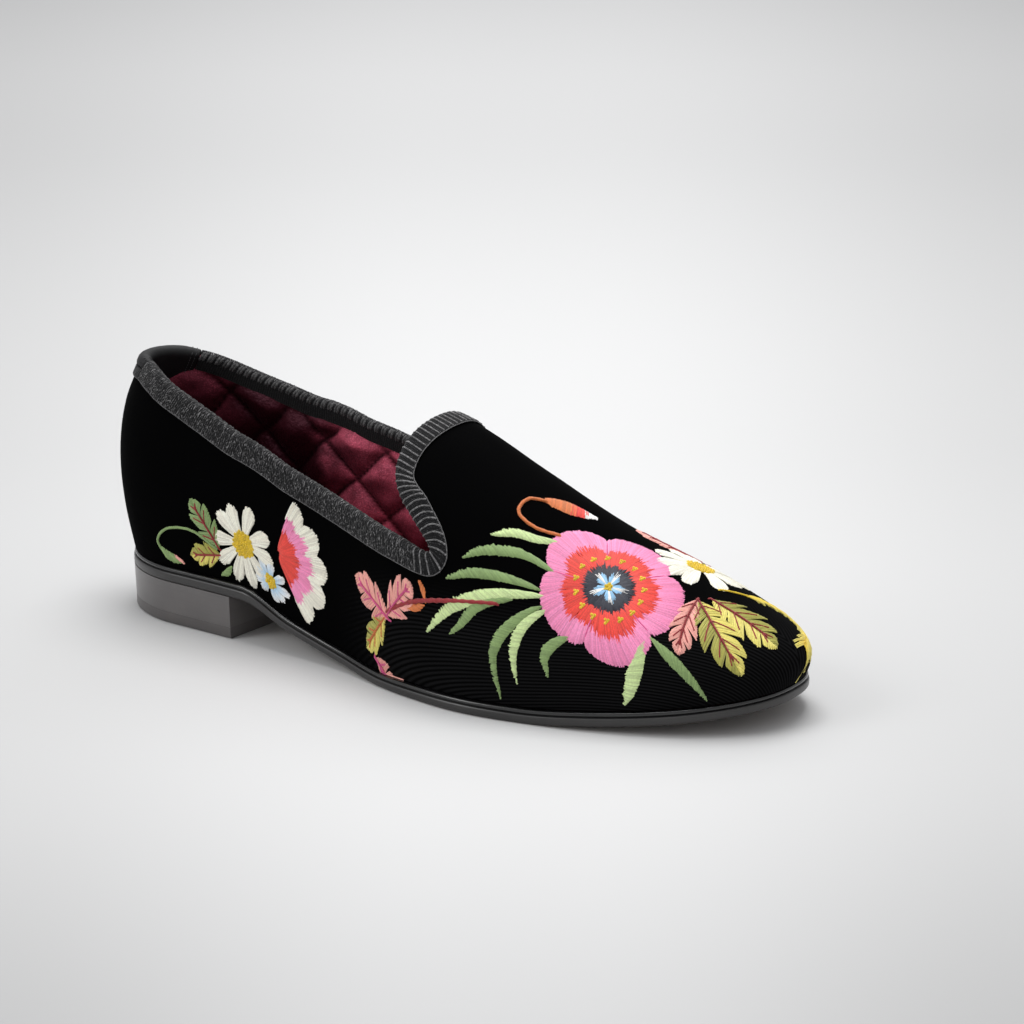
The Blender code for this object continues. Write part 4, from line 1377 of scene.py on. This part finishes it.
@dataclass
class Sole:
    """Welt, outsole and heel."""

    last: Last
    steps: int = 110
    setback: float = 0.0003
    top_piece: float = 0.0042
    pin_inset: float = 0.0065
    pin_count: int = 15
    pin_radius: float = 0.00075
    pin_tip: float = -0.00006
    bead: GrainLeather = GrainLeather("welt_bead_black", (0.003, 0.003, 0.0032), 0.20, coat=0.40,
                                      pebble=1500.0, depth=0.00003, worn=(0.007, 0.007, 0.0075))
    edge: StackedEdge = StackedEdge("sole_edge_black", (0.015, 0.0143, 0.0141), 0.32, coat=0.20)
    stack: StackedEdge = StackedEdge("heel_stack_black", (0.094, 0.088, 0.087), 0.28, coat=0.22,
                                     worn=(0.150, 0.138, 0.135))
    rubber: StackedEdge = StackedEdge("top_piece_rubber", (0.078, 0.072, 0.071), 0.34, coat=0.10,
                                      worn=(0.130, 0.118, 0.115))
    tread: TreadLeather = TreadLeather("tread_leather", (0.060, 0.036, 0.022), 0.5)
    nail: Finish = Finish("steel_pin", (0.30, 0.28, 0.25), 0.35)

    def build(self) -> None:
        """Build each layer from the welt down."""
        self.build_welt()
        self.build_outsole()
        self.build_heel()

    def _stations(self) -> Array:
        """Return stations that crowd together at heel and toe."""
        return (1.0 - np.cos(math.pi * np.linspace(0.0, 1.0, self.steps + 1))) / 2

    def build_welt(self) -> None:
        """Build the rounded bead between the upper and the outsole."""
        last, stations = self.last, self._stations()
        radius = last.welt_height / 2
        rings = [last.ring(stations, lambda s: 0.0 * s - last.wall, last.sole_top),
                 last.ring(stations, lambda s: last.sole_margin(s) - self.setback - radius, last.sole_top)]
        for angle in np.radians(np.linspace(-90.0, 90.0, 11)):
            inset, rise = radius * (1.0 - math.cos(angle)), radius * (1.0 + math.sin(angle))
            rings.append(last.ring(stations, lambda s: last.sole_margin(s) - self.setback - inset,
                                   lambda x: last.sole_top(x) + GAP + rise))
        rings.append(last.ring(stations, lambda s: 0.0 * s - last.wall,
                               lambda x: last.sole_top(x) + GAP + last.welt_height))
        piece = sweep("welt_bead", np.stack(rings, axis=1), self.bead, True, sharp=50.0)
        settle(piece, "welt_leather", "welt")

    def build_outsole(self) -> None:
        """Build the outsole with a rounded edge and a closed stitching channel underneath."""
        last, stations = self.last, self._stations()
        lower = ((-0.0062, 0.0), (-0.0052, 0.0), (-0.0049, 0.0003), (-0.0045, 0.0003), (-0.0042, 0.0),
                 (-0.0007, 0.0), (-0.0003, 0.00015), (0.0, 0.0006), (0.00005, 0.0012))
        upper = ((0.00005, -0.0008), (0.0, -0.0003), (-0.0003, 0.0))
        rings = [last.ring(stations, lambda s: last.sole_margin(s) + outward, lambda x: level(x) + rise)
                 for level, profile in ((last.tread_height, lower), (last.sole_top, upper))
                 for outward, rise in profile]
        piece = slab("outsole_leather", np.array(rings), self.edge)
        piece.data.materials.append(self.tread.build())
        for face in piece.data.polygons:
            if face.normal.z < -0.9:
                face.material_index = 1
        settle(piece, "sole_leather", "outsole")

    def _heel_ring(self, inset: float, height: Callable[[Array], Array]) -> Array:
        """Return a ring of the heel, with its flat front."""
        last = self.last
        shares = 1.0 - np.cos(np.linspace(0.0, math.pi / 2, 41))
        points = []
        for side in Side:
            end = last.heel_length / last.length
            for _ in range(6):
                x, y = last.feather_line(np.array([end]), side, last.sole_margin(np.array([end])) - inset)
                end = end + (last.heel_length / 2 + last.breast_skew * y[0] - x[0]) / last.length
            stations = end * shares
            x, y = last.feather_line(stations, side, last.sole_margin(stations) - inset)
            line = np.stack([x, y, height(x)], axis=-1)
            points.append(line if side is Side.LATERAL else line[:0:-1])
        return np.concatenate(points)

    def build_heel(self) -> None:
        """Build the stacked block, its rubber top piece and the pins in it."""
        last, line, taper = self.last, self.top_piece, self.last.heel_taper
        low = [(taper + 0.0007, 0.0), (taper + 0.0002, 0.0002), (taper, 0.0007), (taper, line - 0.0001),
               (taper + 0.0001, line)]
        rings = [self._heel_ring(inset, lambda x: 0.0 * x + rise) for inset, rise in low]
        settle(slab("heel_top_piece", np.array(rings), self.rubber), "heel_leather", "heel")
        block = [(taper + 0.0001, line + 0.00002), (taper, line + 0.0001)]
        rings = [self._heel_ring(inset, lambda x: 0.0 * x + rise) for inset, rise in block]
        for share in (0.35, 0.7, 1.0):
            rings.append(self._heel_ring(taper * (1.0 - share), lambda x: (line + 0.0001) * (1.0 - share)
                                         + share * (last.tread_height(x) - 0.0001)))
        rings.append(self._heel_ring(0.0001, last.tread_height))
        settle(slab("heel_stack", np.array(rings), self.stack), "heel_leather", "heel")
        pins = ThreadWork("heel_pins", self.nail, sides=10, fuzz=0.0)
        ring = self._heel_ring(self.pin_inset, lambda x: 0.0 * x)
        ring = ring[ring[:, 0] < last.heel_length / 2 - 0.009]
        for place in ring[np.linspace(0, len(ring) - 1, self.pin_count).astype(int)]:
            pin = place + np.array(((0, 0, self.pin_tip), (0, 0, 0.0010)))
            pins.add(pin, self.nail.colour, self.pin_radius)
        settle(pins.build(), "heel_leather")


@dataclass(frozen=True)
class Hoop:
    """A patch of the upper that is embroidered on its own lengths, in millimetres."""

    along: float = 0.0
    down: float = 0.0
    stretch_along: float = 1.0
    stretch_down: float = 1.0

    def place(self, last: Last, points: Array) -> Array:
        """Return unrolled places, in metres, of points in the hoop."""
        x, y = points[..., 0] / self.stretch_along, points[..., 1] / self.stretch_down
        return np.stack([self.along + x, self.down + y], axis=-1) * MM


@dataclass(frozen=True)
class WallHoop(Hoop):
    """A patch on the upright side wall: lengths along the shoe, and heights over the welt."""

    side: Side = Side.LATERAL

    def place(self, last: Last, points: Array) -> Array:
        """Return unrolled places, in metres, of points on the wall."""
        station = np.clip(last.station_at(points[..., 0] * MM), 0.002, 1.0)
        full = last.instep_height * SECTIONS.read("crown", station)
        share = np.clip(points[..., 1] * MM / full, 0.0, 1.0) ** (SECTIONS.read("squareness", station) / 2)
        places = last.to_domain(station, 1.0 - np.arcsin(share) * 2 / math.pi)
        return places * (1.0, self.side.value)


def spread(line: Array, count: int) -> Array:
    """Return even points along a line."""
    lengths = lengths_along(line)
    return resample(np.linspace(0.0, lengths[-1], count), lengths, line)


def bend(knots: Sequence[Place], count: int = 40) -> Array:
    """Return a smooth line through a few points."""
    points = np.array(knots, dtype=float)
    padded = np.vstack([2 * points[0] - points[1], points, 2 * points[-1] - points[-2]])
    line = []
    for k in range(len(points) - 1):
        p0, p1, p2, p3 = padded[k:k + 4]
        for t in np.linspace(0.0, 1.0, count, endpoint=False):
            line.append(0.5 * (2 * p1 + (p2 - p0) * t + (2 * p0 - 5 * p1 + 4 * p2 - p3) * t * t
                               + (3 * p1 - p0 - 3 * p2 + p3) * t ** 3))
    line.append(points[-1])
    return spread(np.array(line), count)


def polar(radius: Array | float, angle: Array | float) -> Array:
    """Return points at a radius and an angle in radians."""
    return np.stack([radius * np.cos(angle), radius * np.sin(angle)], axis=-1)


@dataclass
class Needle:
    """Sews motifs in a hoop on the upper, thread by thread. Lengths are in millimetres.

    The spacing is the distance from stitch to stitch, and a stitch's ends are sunk into the velvet.
    """

    last: Last
    work: ThreadWork
    seed: int
    hoop: Hoop = Hoop()
    spacing: float = 0.40
    gauge: float = 0.27
    sunk: float = 0.15
    point_step: float = 1.7
    tones: tuple[float, float] = (0.86, 1.22)
    rope_step: float = 0.7
    rope_twist: float = 2.4
    runs: list[tuple[Array, Array, Array, float]] = field(default_factory=list)

    def __post_init__(self) -> None:
        """Start the random numbers."""
        self.rng = np.random.default_rng(self.seed)

    def sew(self, line: Array, lifts: Array, colours: Array, gauge: float) -> None:
        """Plan one thread.

        Args:
            line: Points in the hoop.
            lifts: Height of each point over the velvet.
            colours: One colour or one for each point.
            gauge: Half thickness of the thread.
        """
        self.runs.append((self.hoop.place(self.last, line), lifts * MM, colours, gauge * MM))

    def lay(self) -> None:
        """Lay all planned threads on the upper."""
        points, normals = self.last.chart(np.concatenate([run[0] for run in self.runs]))
        points = points + normals * np.concatenate([run[1] for run in self.runs])[:, None]
        cuts = np.cumsum([len(run[0]) for run in self.runs])[:-1]
        for laid, (_, _, colours, gauge) in zip(np.split(points, cuts), self.runs):
            self.work.add(laid, colours, gauge)

    def stitch(self, start: Array, end: Array, first: Yarn, second: Yarn | None = None,
               lift: float = 0.26) -> None:
        """Sew one straight stitch, high in the middle, with its ends in the cloth."""
        length = float(np.linalg.norm(end - start))
        t = np.linspace(0.0, 1.0, int(np.clip(length / self.point_step + 3, 4, 9)))
        lifts = (lift + self.sunk) * (1.0 - (2 * t - 1) ** 6) - self.sunk
        tone = self.rng.uniform(*self.tones)
        colours = (np.outer(1 - t, first.value) + np.outer(t, (second or first).value)) * tone
        self.sew(start + np.outer(t, end - start), lifts, np.clip(colours, 0.0, 1.0), self.gauge)

    def satin(self, starts: Array, ends: Array, first: Yarn, second: Yarn | None = None, fray: float = 0.25,
              lift: float = 0.26) -> None:
        """Fill the space between two lines with stitches.

        Args:
            starts: The line on which the stitches start.
            ends: The line on which they end.
            first: Thread at the start of each stitch.
            second: Thread that it turns into, for a shaded stitch.
            fray: How unevenly the stitches end.
            lift: Height of a stitch over the velvet.
        """
        longest = max(steps_along(line).sum() for line in (starts, ends))
        count = max(3, int(longest / self.spacing))
        for start, end in zip(spread(starts, count), spread(ends, count)):
            along = unit(end - start)
            start = start + along * self.rng.normal(0.0, fray * 0.5)
            end = end + along * self.rng.normal(0.0, fray)
            self.stitch(start, end, first, second, lift)

    def rope(self, line: Array, yarn: Yarn, width: float = 0.9, lift: float = 0.25) -> None:
        """Sew a twisted line of stem stitch."""
        total = steps_along(line).sum()
        count = max(6, int(total / self.rope_step))
        path = spread(line, count)
        aside = quarter_turn(unit(np.gradient(path, axis=0)))
        turn = np.linspace(0.0, total * self.rope_twist, count)
        for phase in (0.0, 2.1, 4.2):
            swing = 0.32 * width * np.cos(turn + phase)
            lifts = lift + 0.22 * width * np.sin(turn + phase)
            lifts[0] = lifts[-1] = -0.1
            tone = self.rng.uniform(0.85, 1.1)
            self.sew(path + aside * swing[:, None], lifts, np.array(yarn.value) * tone, 0.26 * width)

    def knot(self, centre: Array, radius: float) -> None:
        """Sew one gold knot as a small coil."""
        angle = np.linspace(0.0, 4.2 * math.pi, 15) + self.rng.uniform(0, 6.28)
        reach = radius * np.concatenate([np.full(9, 1.0), np.linspace(0.8, 0.1, 6)])
        lifts = np.linspace(0.15, 0.75, 15)
        tone = self.rng.uniform(0.85, 1.08)
        self.sew(centre + polar(reach, angle), lifts, np.array(Yarn.GOLD.value) * tone, self.gauge)

    def knots(self, centre: Place, radius: float, size: float) -> None:
        """Fill a disc with knots."""
        count = max(4, int(1.35 * (radius / (size + 0.2)) ** 2))
        for k in range(count):
            place = polar(radius * math.sqrt((k + 0.5) / count), k * GOLDEN_ANGLE)
            self.knot(np.array(centre) + place, size)

    def blade(self, knots: Sequence[Place], width: float, yarn: Yarn, other: Yarn | None = None) -> None:
        """Sew a long narrow leaf with slanted stitches.

        Args:
            knots: The leaf's middle line, base to tip.
            width: Its greatest width.
            yarn: Thread of the leaf.
            other: Thread of its far half, for a shaded leaf.
        """
        line = bend(knots)
        total = steps_along(line).sum()
        aside = quarter_turn(unit(np.gradient(line, axis=0)))
        t = np.linspace(0.0, 1.0, len(line))
        swell = np.sin(math.pi * np.clip(0.10 + 0.90 * t, 0, 1)) ** 0.75
        half = 0.5 * width * swell * (0.55 + 0.45 * np.sqrt(t))
        slant = 1.3 * width / max(total, 1.0)
        left, right = line + aside * half[:, None], line - aside * half[:, None]
        ahead = np.clip(t + slant, 0.0, 1.0)
        right = resample(ahead, t, right)
        if other is None:
            self.satin(left, right, yarn, fray=0.22)
            return
        cut = int(len(t) * 0.55)
        self.satin(left[:cut + 1], right[:cut + 1], yarn, fray=0.3)
        self.satin(left[cut:], right[cut:], other, fray=0.3)

    def leaf(self, base: Place, tip: Place, half_width: float, teeth: int,
             yarns: tuple[Yarn, Yarn], vein: Yarn = Yarn.WINE) -> None:
        """Sew a toothed leaf with a vein line down its middle and one to each tooth.

        Args:
            base: Where the leaf starts.
            tip: Where it ends.
            half_width: Width of one half of it.
            teeth: Teeth along each edge.
            yarns: Threads of its two halves.
            vein: Thread of the veins.
        """
        base_point, tip_point = np.array(base), np.array(tip)
        axis = tip_point - base_point
        aside = unit(quarter_turn(axis))
        t = np.linspace(0.0, 1.0, 25 * teeth)
        outline = half_width * np.sin(math.pi * t ** 0.75) ** 0.8
        saw = 1.0 - 0.34 * (1.0 - np.mod(teeth * t, 1.0)) ** 1.3
        forward = np.clip(t + 0.16 * np.sin(math.pi * t), 0.0, 1.0)
        middle = base_point + np.outer(t * 0.97, axis)
        for sign, yarn in zip((1.0, -1.0), yarns):
            edge = base_point + np.outer(forward, axis) + sign * np.outer(outline * saw, aside)
            count = max(6, int(np.linalg.norm(axis) / self.spacing * 1.15))
            at = np.linspace(0, len(t) - 1, count).astype(int)
            for start, end in zip(middle[at], edge[at]):
                end = end + unit(end - start) * self.rng.normal(0.0, 0.12)
                self.stitch(start, end, yarn)
            for k in range(1, teeth + 1):
                place = int(np.clip((k - 0.12) / teeth, 0, 0.9) * (len(t) - 1))
                start = base_point + axis * max(t[place] - 0.14, 0.02)
                self.rope(np.array([start, start + 0.80 * (edge[place] - start)]), vein, 0.55, 0.50)
        self.rope(np.array([base_point - 0.08 * axis, base_point + 0.86 * axis]), vein, 0.75, 0.52)

    def daisy(self, centre: Place, radius: float, petals: int, eye: float, yarn: Yarn = Yarn.CREAM,
              shade: Yarn = Yarn.CREAM, squash: float = 1.0) -> None:
        """Sew a daisy: petals of long stitches round an eye of knots.

        Args:
            centre: The eye's middle.
            radius: Reach of the petals.
            petals: How many petals.
            eye: Radius of the eye.
            yarn: Thread at a petal's base.
            shade: Thread at its tip.
            squash: Height of the flower as a share of its width, for one seen from the side.
        """
        middle = np.array(centre)
        flat = np.array((1.0, squash))
        width = 0.92 * math.pi * radius * 0.74 / petals
        for k in range(petals):
            angle = 2 * math.pi * (k + 0.25 * self.rng.uniform(-1, 1)) / petals
            ahead, aside = polar(1.0, angle), polar(1.0, angle + math.pi / 2)
            reach = radius * self.rng.uniform(0.90, 1.05)
            t = np.linspace(-1.0, 1.0, 21)
            near = np.outer(eye * 0.75 + 0.0 * t, ahead) + np.outer(0.30 * width * t, aside)
            far = np.outer(reach * np.sqrt(1.0 - 0.42 * t * t), ahead)
            far = far + np.outer(width * t * (1 - 0.18 * t * t), aside)
            self.satin(middle + near * flat, middle + far * flat, yarn, shade, fray=0.28, lift=0.30)
        self.knots(centre, eye, 0.50)

    def ring(self, centre: Place, lobes: int, radius: float, inner: float, outer: float, yarn: Yarn,
             fray: tuple[float, float], lift: float, span: tuple[float, float] = (0.0, 360.0),
             phase: float = 0.0) -> None:
        """Sew a ring of radial stitches that follows the lobes of a bloom.

        Args:
            centre: The bloom's middle.
            lobes: Petals of the bloom.
            radius: Its reach.
            inner: Where the ring starts, as a share of the reach.
            outer: Where it ends.
            yarn: Thread of the ring.
            fray: How unevenly the stitches start and end.
            lift: Height of the stitches.
            span: Degrees between which the ring runs.
            phase: Degrees that the lobes are turned by.
        """
        angle = np.radians(np.linspace(*span, 181))
        turned = lobes * (angle - math.radians(phase))
        reach = radius * (0.80 + 0.20 * np.abs(np.cos(turned / 2)) ** 0.55)
        starts = np.array(centre) + polar(reach * inner, angle + 0.10 * np.sin(turned) * inner)
        ends = np.array(centre) + polar(reach * outer, angle)
        count = int(steps_along(ends).sum() / self.spacing)
        for start, end in zip(spread(starts, count), spread(ends, count)):
            along = unit(end - start)
            start = start - along * abs(self.rng.normal(0.0, fray[0]))
            end = end + along * self.rng.normal(0.0, fray[1])
            self.stitch(start, end, yarn, lift=lift)

    def bloom(self, centre: Place, radius: float, lobes: int, phase: float) -> None:
        """Sew a large open bloom: pink rim, coral inside, dark eye with a pale star and gold knots."""
        middle = np.array(centre)
        part = 360.0 / lobes
        self.ring(centre, lobes, radius, 0.64, 1.0, Yarn.PINK, (1.2, 0.18), 0.26, phase=phase)
        self.ring(centre, lobes, radius, 0.34, 0.72, Yarn.CORAL, (0.9, 1.3), 0.34, phase=phase)
        for k in range(lobes):
            angle = math.radians(phase + (k + 0.5) * part)
            start, end = middle + polar(radius * 0.40, angle), middle + polar(radius * 0.80, angle)
            self.stitch(start, end, Yarn.ROSE, lift=0.42)
        self.ring(centre, 5 * lobes, radius, 0.12, 0.38, Yarn.NIGHT, (0.6, 0.9), 0.42, phase=phase)
        for k in range(lobes):
            aim = math.radians(phase + part * k)
            for fan in np.linspace(-0.46, 0.46, 11):
                reach = radius * (0.30 - 0.22 * abs(fan)) * self.rng.uniform(0.85, 1.15)
                yarn = Yarn.SKY if abs(fan) > 0.15 else Yarn.WHITE
                self.stitch(middle + polar(0.6, aim + fan), middle + polar(reach, aim + fan), yarn, lift=0.50)
        self.knots(centre, 1.6, 0.45)
        for k in range(3 * lobes):
            angle = math.radians(phase + part * (k + 0.5) / 3)
            self.knots(tuple(middle + polar(radius * 0.46, angle)), 0.95, 0.42)

    def fan(self, centre: Place, radius: float, aim: float, half_span: float) -> None:
        """Sew a bloom seen from its side: coral base, pink middle and cream rim."""
        span = (aim - half_span, aim + half_span)
        self.ring(centre, 12, radius, 0.66, 1.0, Yarn.CREAM, (0.8, 0.25), 0.26, span, aim)
        self.ring(centre, 12, radius, 0.42, 0.76, Yarn.PINK, (1.0, 1.2), 0.33, span, aim)
        self.ring(centre, 12, radius, 0.08, 0.52, Yarn.CORAL, (0.3, 1.2), 0.40, span, aim)

    def bud(self, base: Place, tip: Place, width: float) -> None:
        """Sew a closed bud: rust cup, coral waist and white point."""
        start, end = np.array(base), np.array(tip)
        axis = end - start
        aside = unit(quarter_turn(axis))
        for low, high, yarn in ((0.0, 0.58, Yarn.RUST), (0.50, 0.82, Yarn.CORAL), (0.76, 1.0, Yarn.WHITE)):
            t = np.linspace(low, high, 12)
            half = 0.5 * width * np.sin(math.pi * np.clip(t * 0.92 + 0.06, 0, 1)) ** 0.7
            left = start + np.outer(t, axis) + np.outer(half, aside)
            right = start + np.outer(t, axis) - np.outer(half, aside)
            self.satin(left, right, yarn, fray=0.2, lift=0.32)

    def ear(self, knots: Sequence[Place], yarn: Yarn, grain: float) -> None:
        """Sew an ear of grass: a stem with slim seeds to both sides."""
        line = bend(knots, 34)
        self.rope(line, yarn, 0.8)
        run = unit(np.gradient(line, axis=0))
        for k in range(8, 34):
            for sign in (-1.0, 1.0):
                aim = math.atan2(run[k, 1], run[k, 0]) + sign * self.rng.uniform(0.30, 0.55)
                start, end = line[k], line[k] + polar(grain * self.rng.uniform(0.7, 1.1), aim)
                for shift in (-0.20, 0.20):
                    side = polar(shift, aim + math.pi / 2)
                    self.stitch(start + side * 0.4, end + side, yarn, Yarn.MAIZE, 0.34)


@dataclass
class Embroidery:
    """Sprays of flowers in satin stitch on the vamp and on both sides of the heel."""

    last: Last
    yarn: ColouredYarn = ColouredYarn("embroidery_yarn", (0.8, 0.3, 0.4), 0.62, sheen=0.25,
                                      sheen_roughness=0.4, shade=0.12, fleck=1800.0)

    def build(self) -> None:
        """Sew each spray as a piece of its own."""
        for name, sew, seed in (
            ("vamp_spray", self.sew_vamp, 3), ("toe_spray", self.sew_toe, 5),
            ("inner_spray", self.sew_inner, 8), ("quarter_sprays", self.sew_quarters, 13),
        ):
            work = ThreadWork(name, self.yarn, sides=5, fuzz=0.000025, seed=seed)
            needle = Needle(self.last, work, seed)
            sew(needle)
            needle.lay()
            settle(work.build(), "embroidery")

    def sew_vamp(self, needle: Needle) -> None:
        """Sew the large bloom, its blades, the red stem with its sprig, and the curled bud."""
        needle.hoop = Hoop()
        for knots, width, yarn in (
            (((221, -20), (215, -25), (208, -29), (202, -36)), 3.8, Yarn.LIME),
            (((226, -32), (214, -34), (203, -42), (196, -51)), 4.0, Yarn.SAGE),
            (((224, -41), (212, -46), (201, -53), (192, -62)), 3.6, Yarn.SAGE),
            (((226, -42), (210, -54), (196, -69), (186, -84)), 4.2, Yarn.LIME),
            (((216, -51), (206, -61), (200, -72), (196, -78)), 3.2, Yarn.SAGE),
            (((226, -46), (218, -59), (213, -73), (216, -87)), 3.6, Yarn.SAGE),
            (((228, -46), (222, -57), (220, -68), (222, -78)), 3.6, Yarn.LIME),
            (((238, -50), (233, -57), (231, -63), (233, -69)), 3.8, Yarn.SAGE),
            (((261, -35), (261, -45), (260, -55), (258.5, -64)), 5.0, Yarn.LIME),
            (((262, -34), (269, -36), (276, -39), (282.5, -42.5)), 5.0, Yarn.SAGE),
        ):
            needle.blade(knots, width, yarn)
        needle.rope(bend(((212, -56), (196, -67), (181, -78), (166, -90))), Yarn.WINE, 1.5)
        needle.blade(((185, -76), (183.5, -73.5), (181, -71.5)), 2.6, Yarn.RUST)
        needle.blade(((184, -77), (181, -80), (177, -83)), 2.2, Yarn.RUST)
        needle.leaf((167, -90), (178, -75), 5.5, 3, (Yarn.SALMON, Yarn.SALMON), Yarn.ROSE)
        needle.leaf((167, -91), (149, -88), 5.5, 3, (Yarn.SALMON, Yarn.SALMON), Yarn.ROSE)
        needle.leaf((165, -92), (155, -103), 3.8, 3, (Yarn.MAIZE, Yarn.OLIVE), Yarn.RUST)
        needle.leaf((160, -103), (174, -105.5), 2.2, 3, (Yarn.SALMON, Yarn.SALMON), Yarn.ROSE)
        needle.hoop = Hoop(243.0, -25.0, 1.09, 0.91)
        needle.bloom((0.0, 0.0), 27.0, 5, 18.0)
        needle.hoop = Hoop(205.0, -12.0, 1.13, 0.95)
        needle.rope(bend(((17, -5), (8, -9), (0, -8), (-1, 0), (4, 5))), Yarn.RUST, 1.4)
        needle.bud((3, 5), (19, 15), 7.0)

    def sew_toe(self, needle: Needle) -> None:
        """Sew the daisy, the toothed leaves and the ear towards the toe."""
        needle.hoop = Hoop(262.0, 3.0, 1.10, 0.96)
        needle.leaf((8, -12), (31, -26), 8.5, 4, (Yarn.MAIZE, Yarn.OLIVE))
        needle.leaf((7, -12), (11, -35), 5.5, 4, (Yarn.SALMON, Yarn.SALMON))
        needle.leaf((11, -8), (36, -8), 7.0, 4, (Yarn.OLIVE, Yarn.MAIZE))
        needle.ear(((8, -1), (19, 8), (27, 12), (34, 9), (38, 3)), Yarn.GOLD, 5.5)
        needle.leaf((-16, 18), (-36, 15), 5.5, 3, (Yarn.SALMON, Yarn.SALMON))
        needle.leaf((-10, 22), (-24, 34), 4.5, 3, (Yarn.SAGE, Yarn.LIME))
        needle.leaf((-14, 22), (-34, 26), 4.0, 3, (Yarn.OLIVE, Yarn.MAIZE))
        needle.daisy((-6.0, 9.0), 17.5, 11, 4.8)

    def sew_inner(self, needle: Needle) -> None:
        """Sew the spray on the inner side of the vamp."""
        needle.hoop = Hoop(232.0, 52.0, 1.10, 0.88)
        for knots, width, yarn in (
            (((-8, 2), (-20, 6), (-34, 6), (-42, 2)), 3.8, Yarn.SAGE),
            (((-8, 6), (-18, 14), (-30, 22), (-40, 24)), 3.8, Yarn.LIME),
            (((2, 10), (0, 20), (-6, 28), (-12, 32)), 3.6, Yarn.SAGE),
            (((8, 6), (16, 12), (22, 20), (30, 23)), 3.8, Yarn.LIME),
        ):
            needle.blade(knots, width, yarn)
        needle.leaf((8, 0), (28, -2), 6.0, 4, (Yarn.MAIZE, Yarn.OLIVE))
        needle.leaf((2, -8), (6, -20), 4.5, 3, (Yarn.SALMON, Yarn.SALMON))
        needle.bloom((0.0, 0.0), 14.0, 5, 40.0)
        needle.daisy((-22.0, 14.0), 7.0, 7, 2.2, Yarn.SKY, Yarn.WHITE)

    def sew_quarters(self, needle: Needle) -> None:
        """Sew the sprays on both sides of the heel."""
        for side in Side:
            needle.hoop = WallHoop(side=side)
            needle.rope(bend(((25, 11), (14, 16), (3, 15), (-3, 10), (-2, 6))), Yarn.SAGE, 1.1)
            needle.blade(((-3, 7), (1, 4.2), (8, 2.6)), 3.6, Yarn.SAGE, Yarn.SALMON)
            needle.leaf((26, 12), (14, 28), 5.4, 3, (Yarn.SAGE, Yarn.SAGE))
            needle.leaf((26, 9.0), (12, 6.6), 4.8, 3, (Yarn.MAIZE, Yarn.OLIVE))
            needle.blade(((31, 6), (29, 3), (26, 1.5)), 2.8, Yarn.SAGE)
            needle.fan((54.0, 22.0), 24.0, 8.0, 64.0)
            needle.daisy((38.0, 15.8), 15.0, 10, 4.8)
            needle.daisy((50.5, 9.0), 8.4, 9, 2.5, Yarn.SKY, Yarn.WHITE, 0.85)


@dataclass
class Studio:
    """Camera, floor and soft light. Angles are in degrees and powers in watts."""

    azimuth: float = 34.152
    elevation: float = 16.801
    distance: float = 1.15092
    target: tuple[float, float, float] = (0.08156, 0.07885, 0.0300)
    focal_pixels: float = 3000.0
    frame_pixels: float = 1024.0
    sensor: float = 36.0
    floor_height: float = -0.0002
    floor_reach: float = 6.0
    room_colour: Colour = (0.95, 0.955, 0.97)
    room_strength: float = 0.62

    def build(self) -> None:
        """Set up the shot."""
        self.build_camera()
        self.build_floor()
        self.build_lights()

    def build_camera(self) -> None:
        """Place the camera at the photograph's angle."""
        turn, tilt = math.radians(self.azimuth), math.radians(self.elevation)
        away = Vector((math.sin(turn) * math.cos(tilt), -math.cos(turn) * math.cos(tilt), math.sin(tilt)))
        lens = bpy.data.cameras.new("camera")
        lens.sensor_width = self.sensor
        lens.lens = self.focal_pixels * self.sensor / self.frame_pixels
        camera = bpy.data.objects.new("camera", lens)
        camera.location = Vector(self.target) + self.distance * away
        camera.rotation_euler = away.to_track_quat("Z", "Y").to_euler()
        bpy.context.scene.collection.objects.link(camera)
        bpy.context.scene.camera = camera

    def build_floor(self) -> None:
        """Lay a pale floor with painted shade to both sides, near its front edge and behind the shoe."""
        mesh = bpy.data.meshes.new("floor")
        reach = self.floor_reach
        corners = [(-reach, -reach), (reach, -reach), (reach, reach), (-reach, reach)]
        mesh.from_pydata([(x, y, self.floor_height) for x, y in corners], [], [(0, 1, 2, 3)])
        mesh.materials.append(FloorWithPaintedShade("floor_painted_shade", (0.622, 0.622, 0.622), 0.9, specular=0.05).build())
        make_object("floor", mesh)

    def build_lights(self) -> None:
        """Light the scene from a pale room and three large panels."""
        world = bpy.data.worlds.new("room")
        world.use_nodes = True
        background = world.node_tree.nodes["Background"].inputs
        background["Color"].default_value = (*self.room_colour, 1.0)
        background["Strength"].default_value = self.room_strength
        bpy.context.scene.world = world
        bpy.context.scene.view_settings.view_transform = "Standard"
        for name, place, aim, size, power in (
            ("top", (0.04, 0.20, 1.05), (0.08, 0.10, 0.0), 0.6, 8.4),
            ("key", (-0.9, -1.3, 1.2), (0.10, 0.0, 0.03), 0.8, 10.6),
            ("back", (-0.7, 1.3, 1.4), (-0.7, 1.3, 0.0), 1.4, 12.5),
        ):
            panel = bpy.data.lights.new(name, "AREA")
            panel.size, panel.energy = size, power
            lamp = bpy.data.objects.new(name, panel)
            lamp.location = place
            lamp.rotation_euler = (Vector(place) - Vector(aim)).to_track_quat("Z", "Y").to_euler()
            bpy.context.scene.collection.objects.link(lamp)


def main() -> None:
    """Load the frame, build every piece on it and set up the shot."""
    logging.basicConfig(level=logging.INFO, format="%(name)s: %(message)s")
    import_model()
    last = Last()
    edge = UpperSurface(last, Cut(per_step=10, rows=60, crowding=1.0))
    Studio().build()
    Upper(last).build()
    Sock(last).build()
    Binding(edge).build()
    HeelTab(edge).build()
    Sole(last).build()
    Embroidery(last).build()


if __name__ == "__main__":
    main()
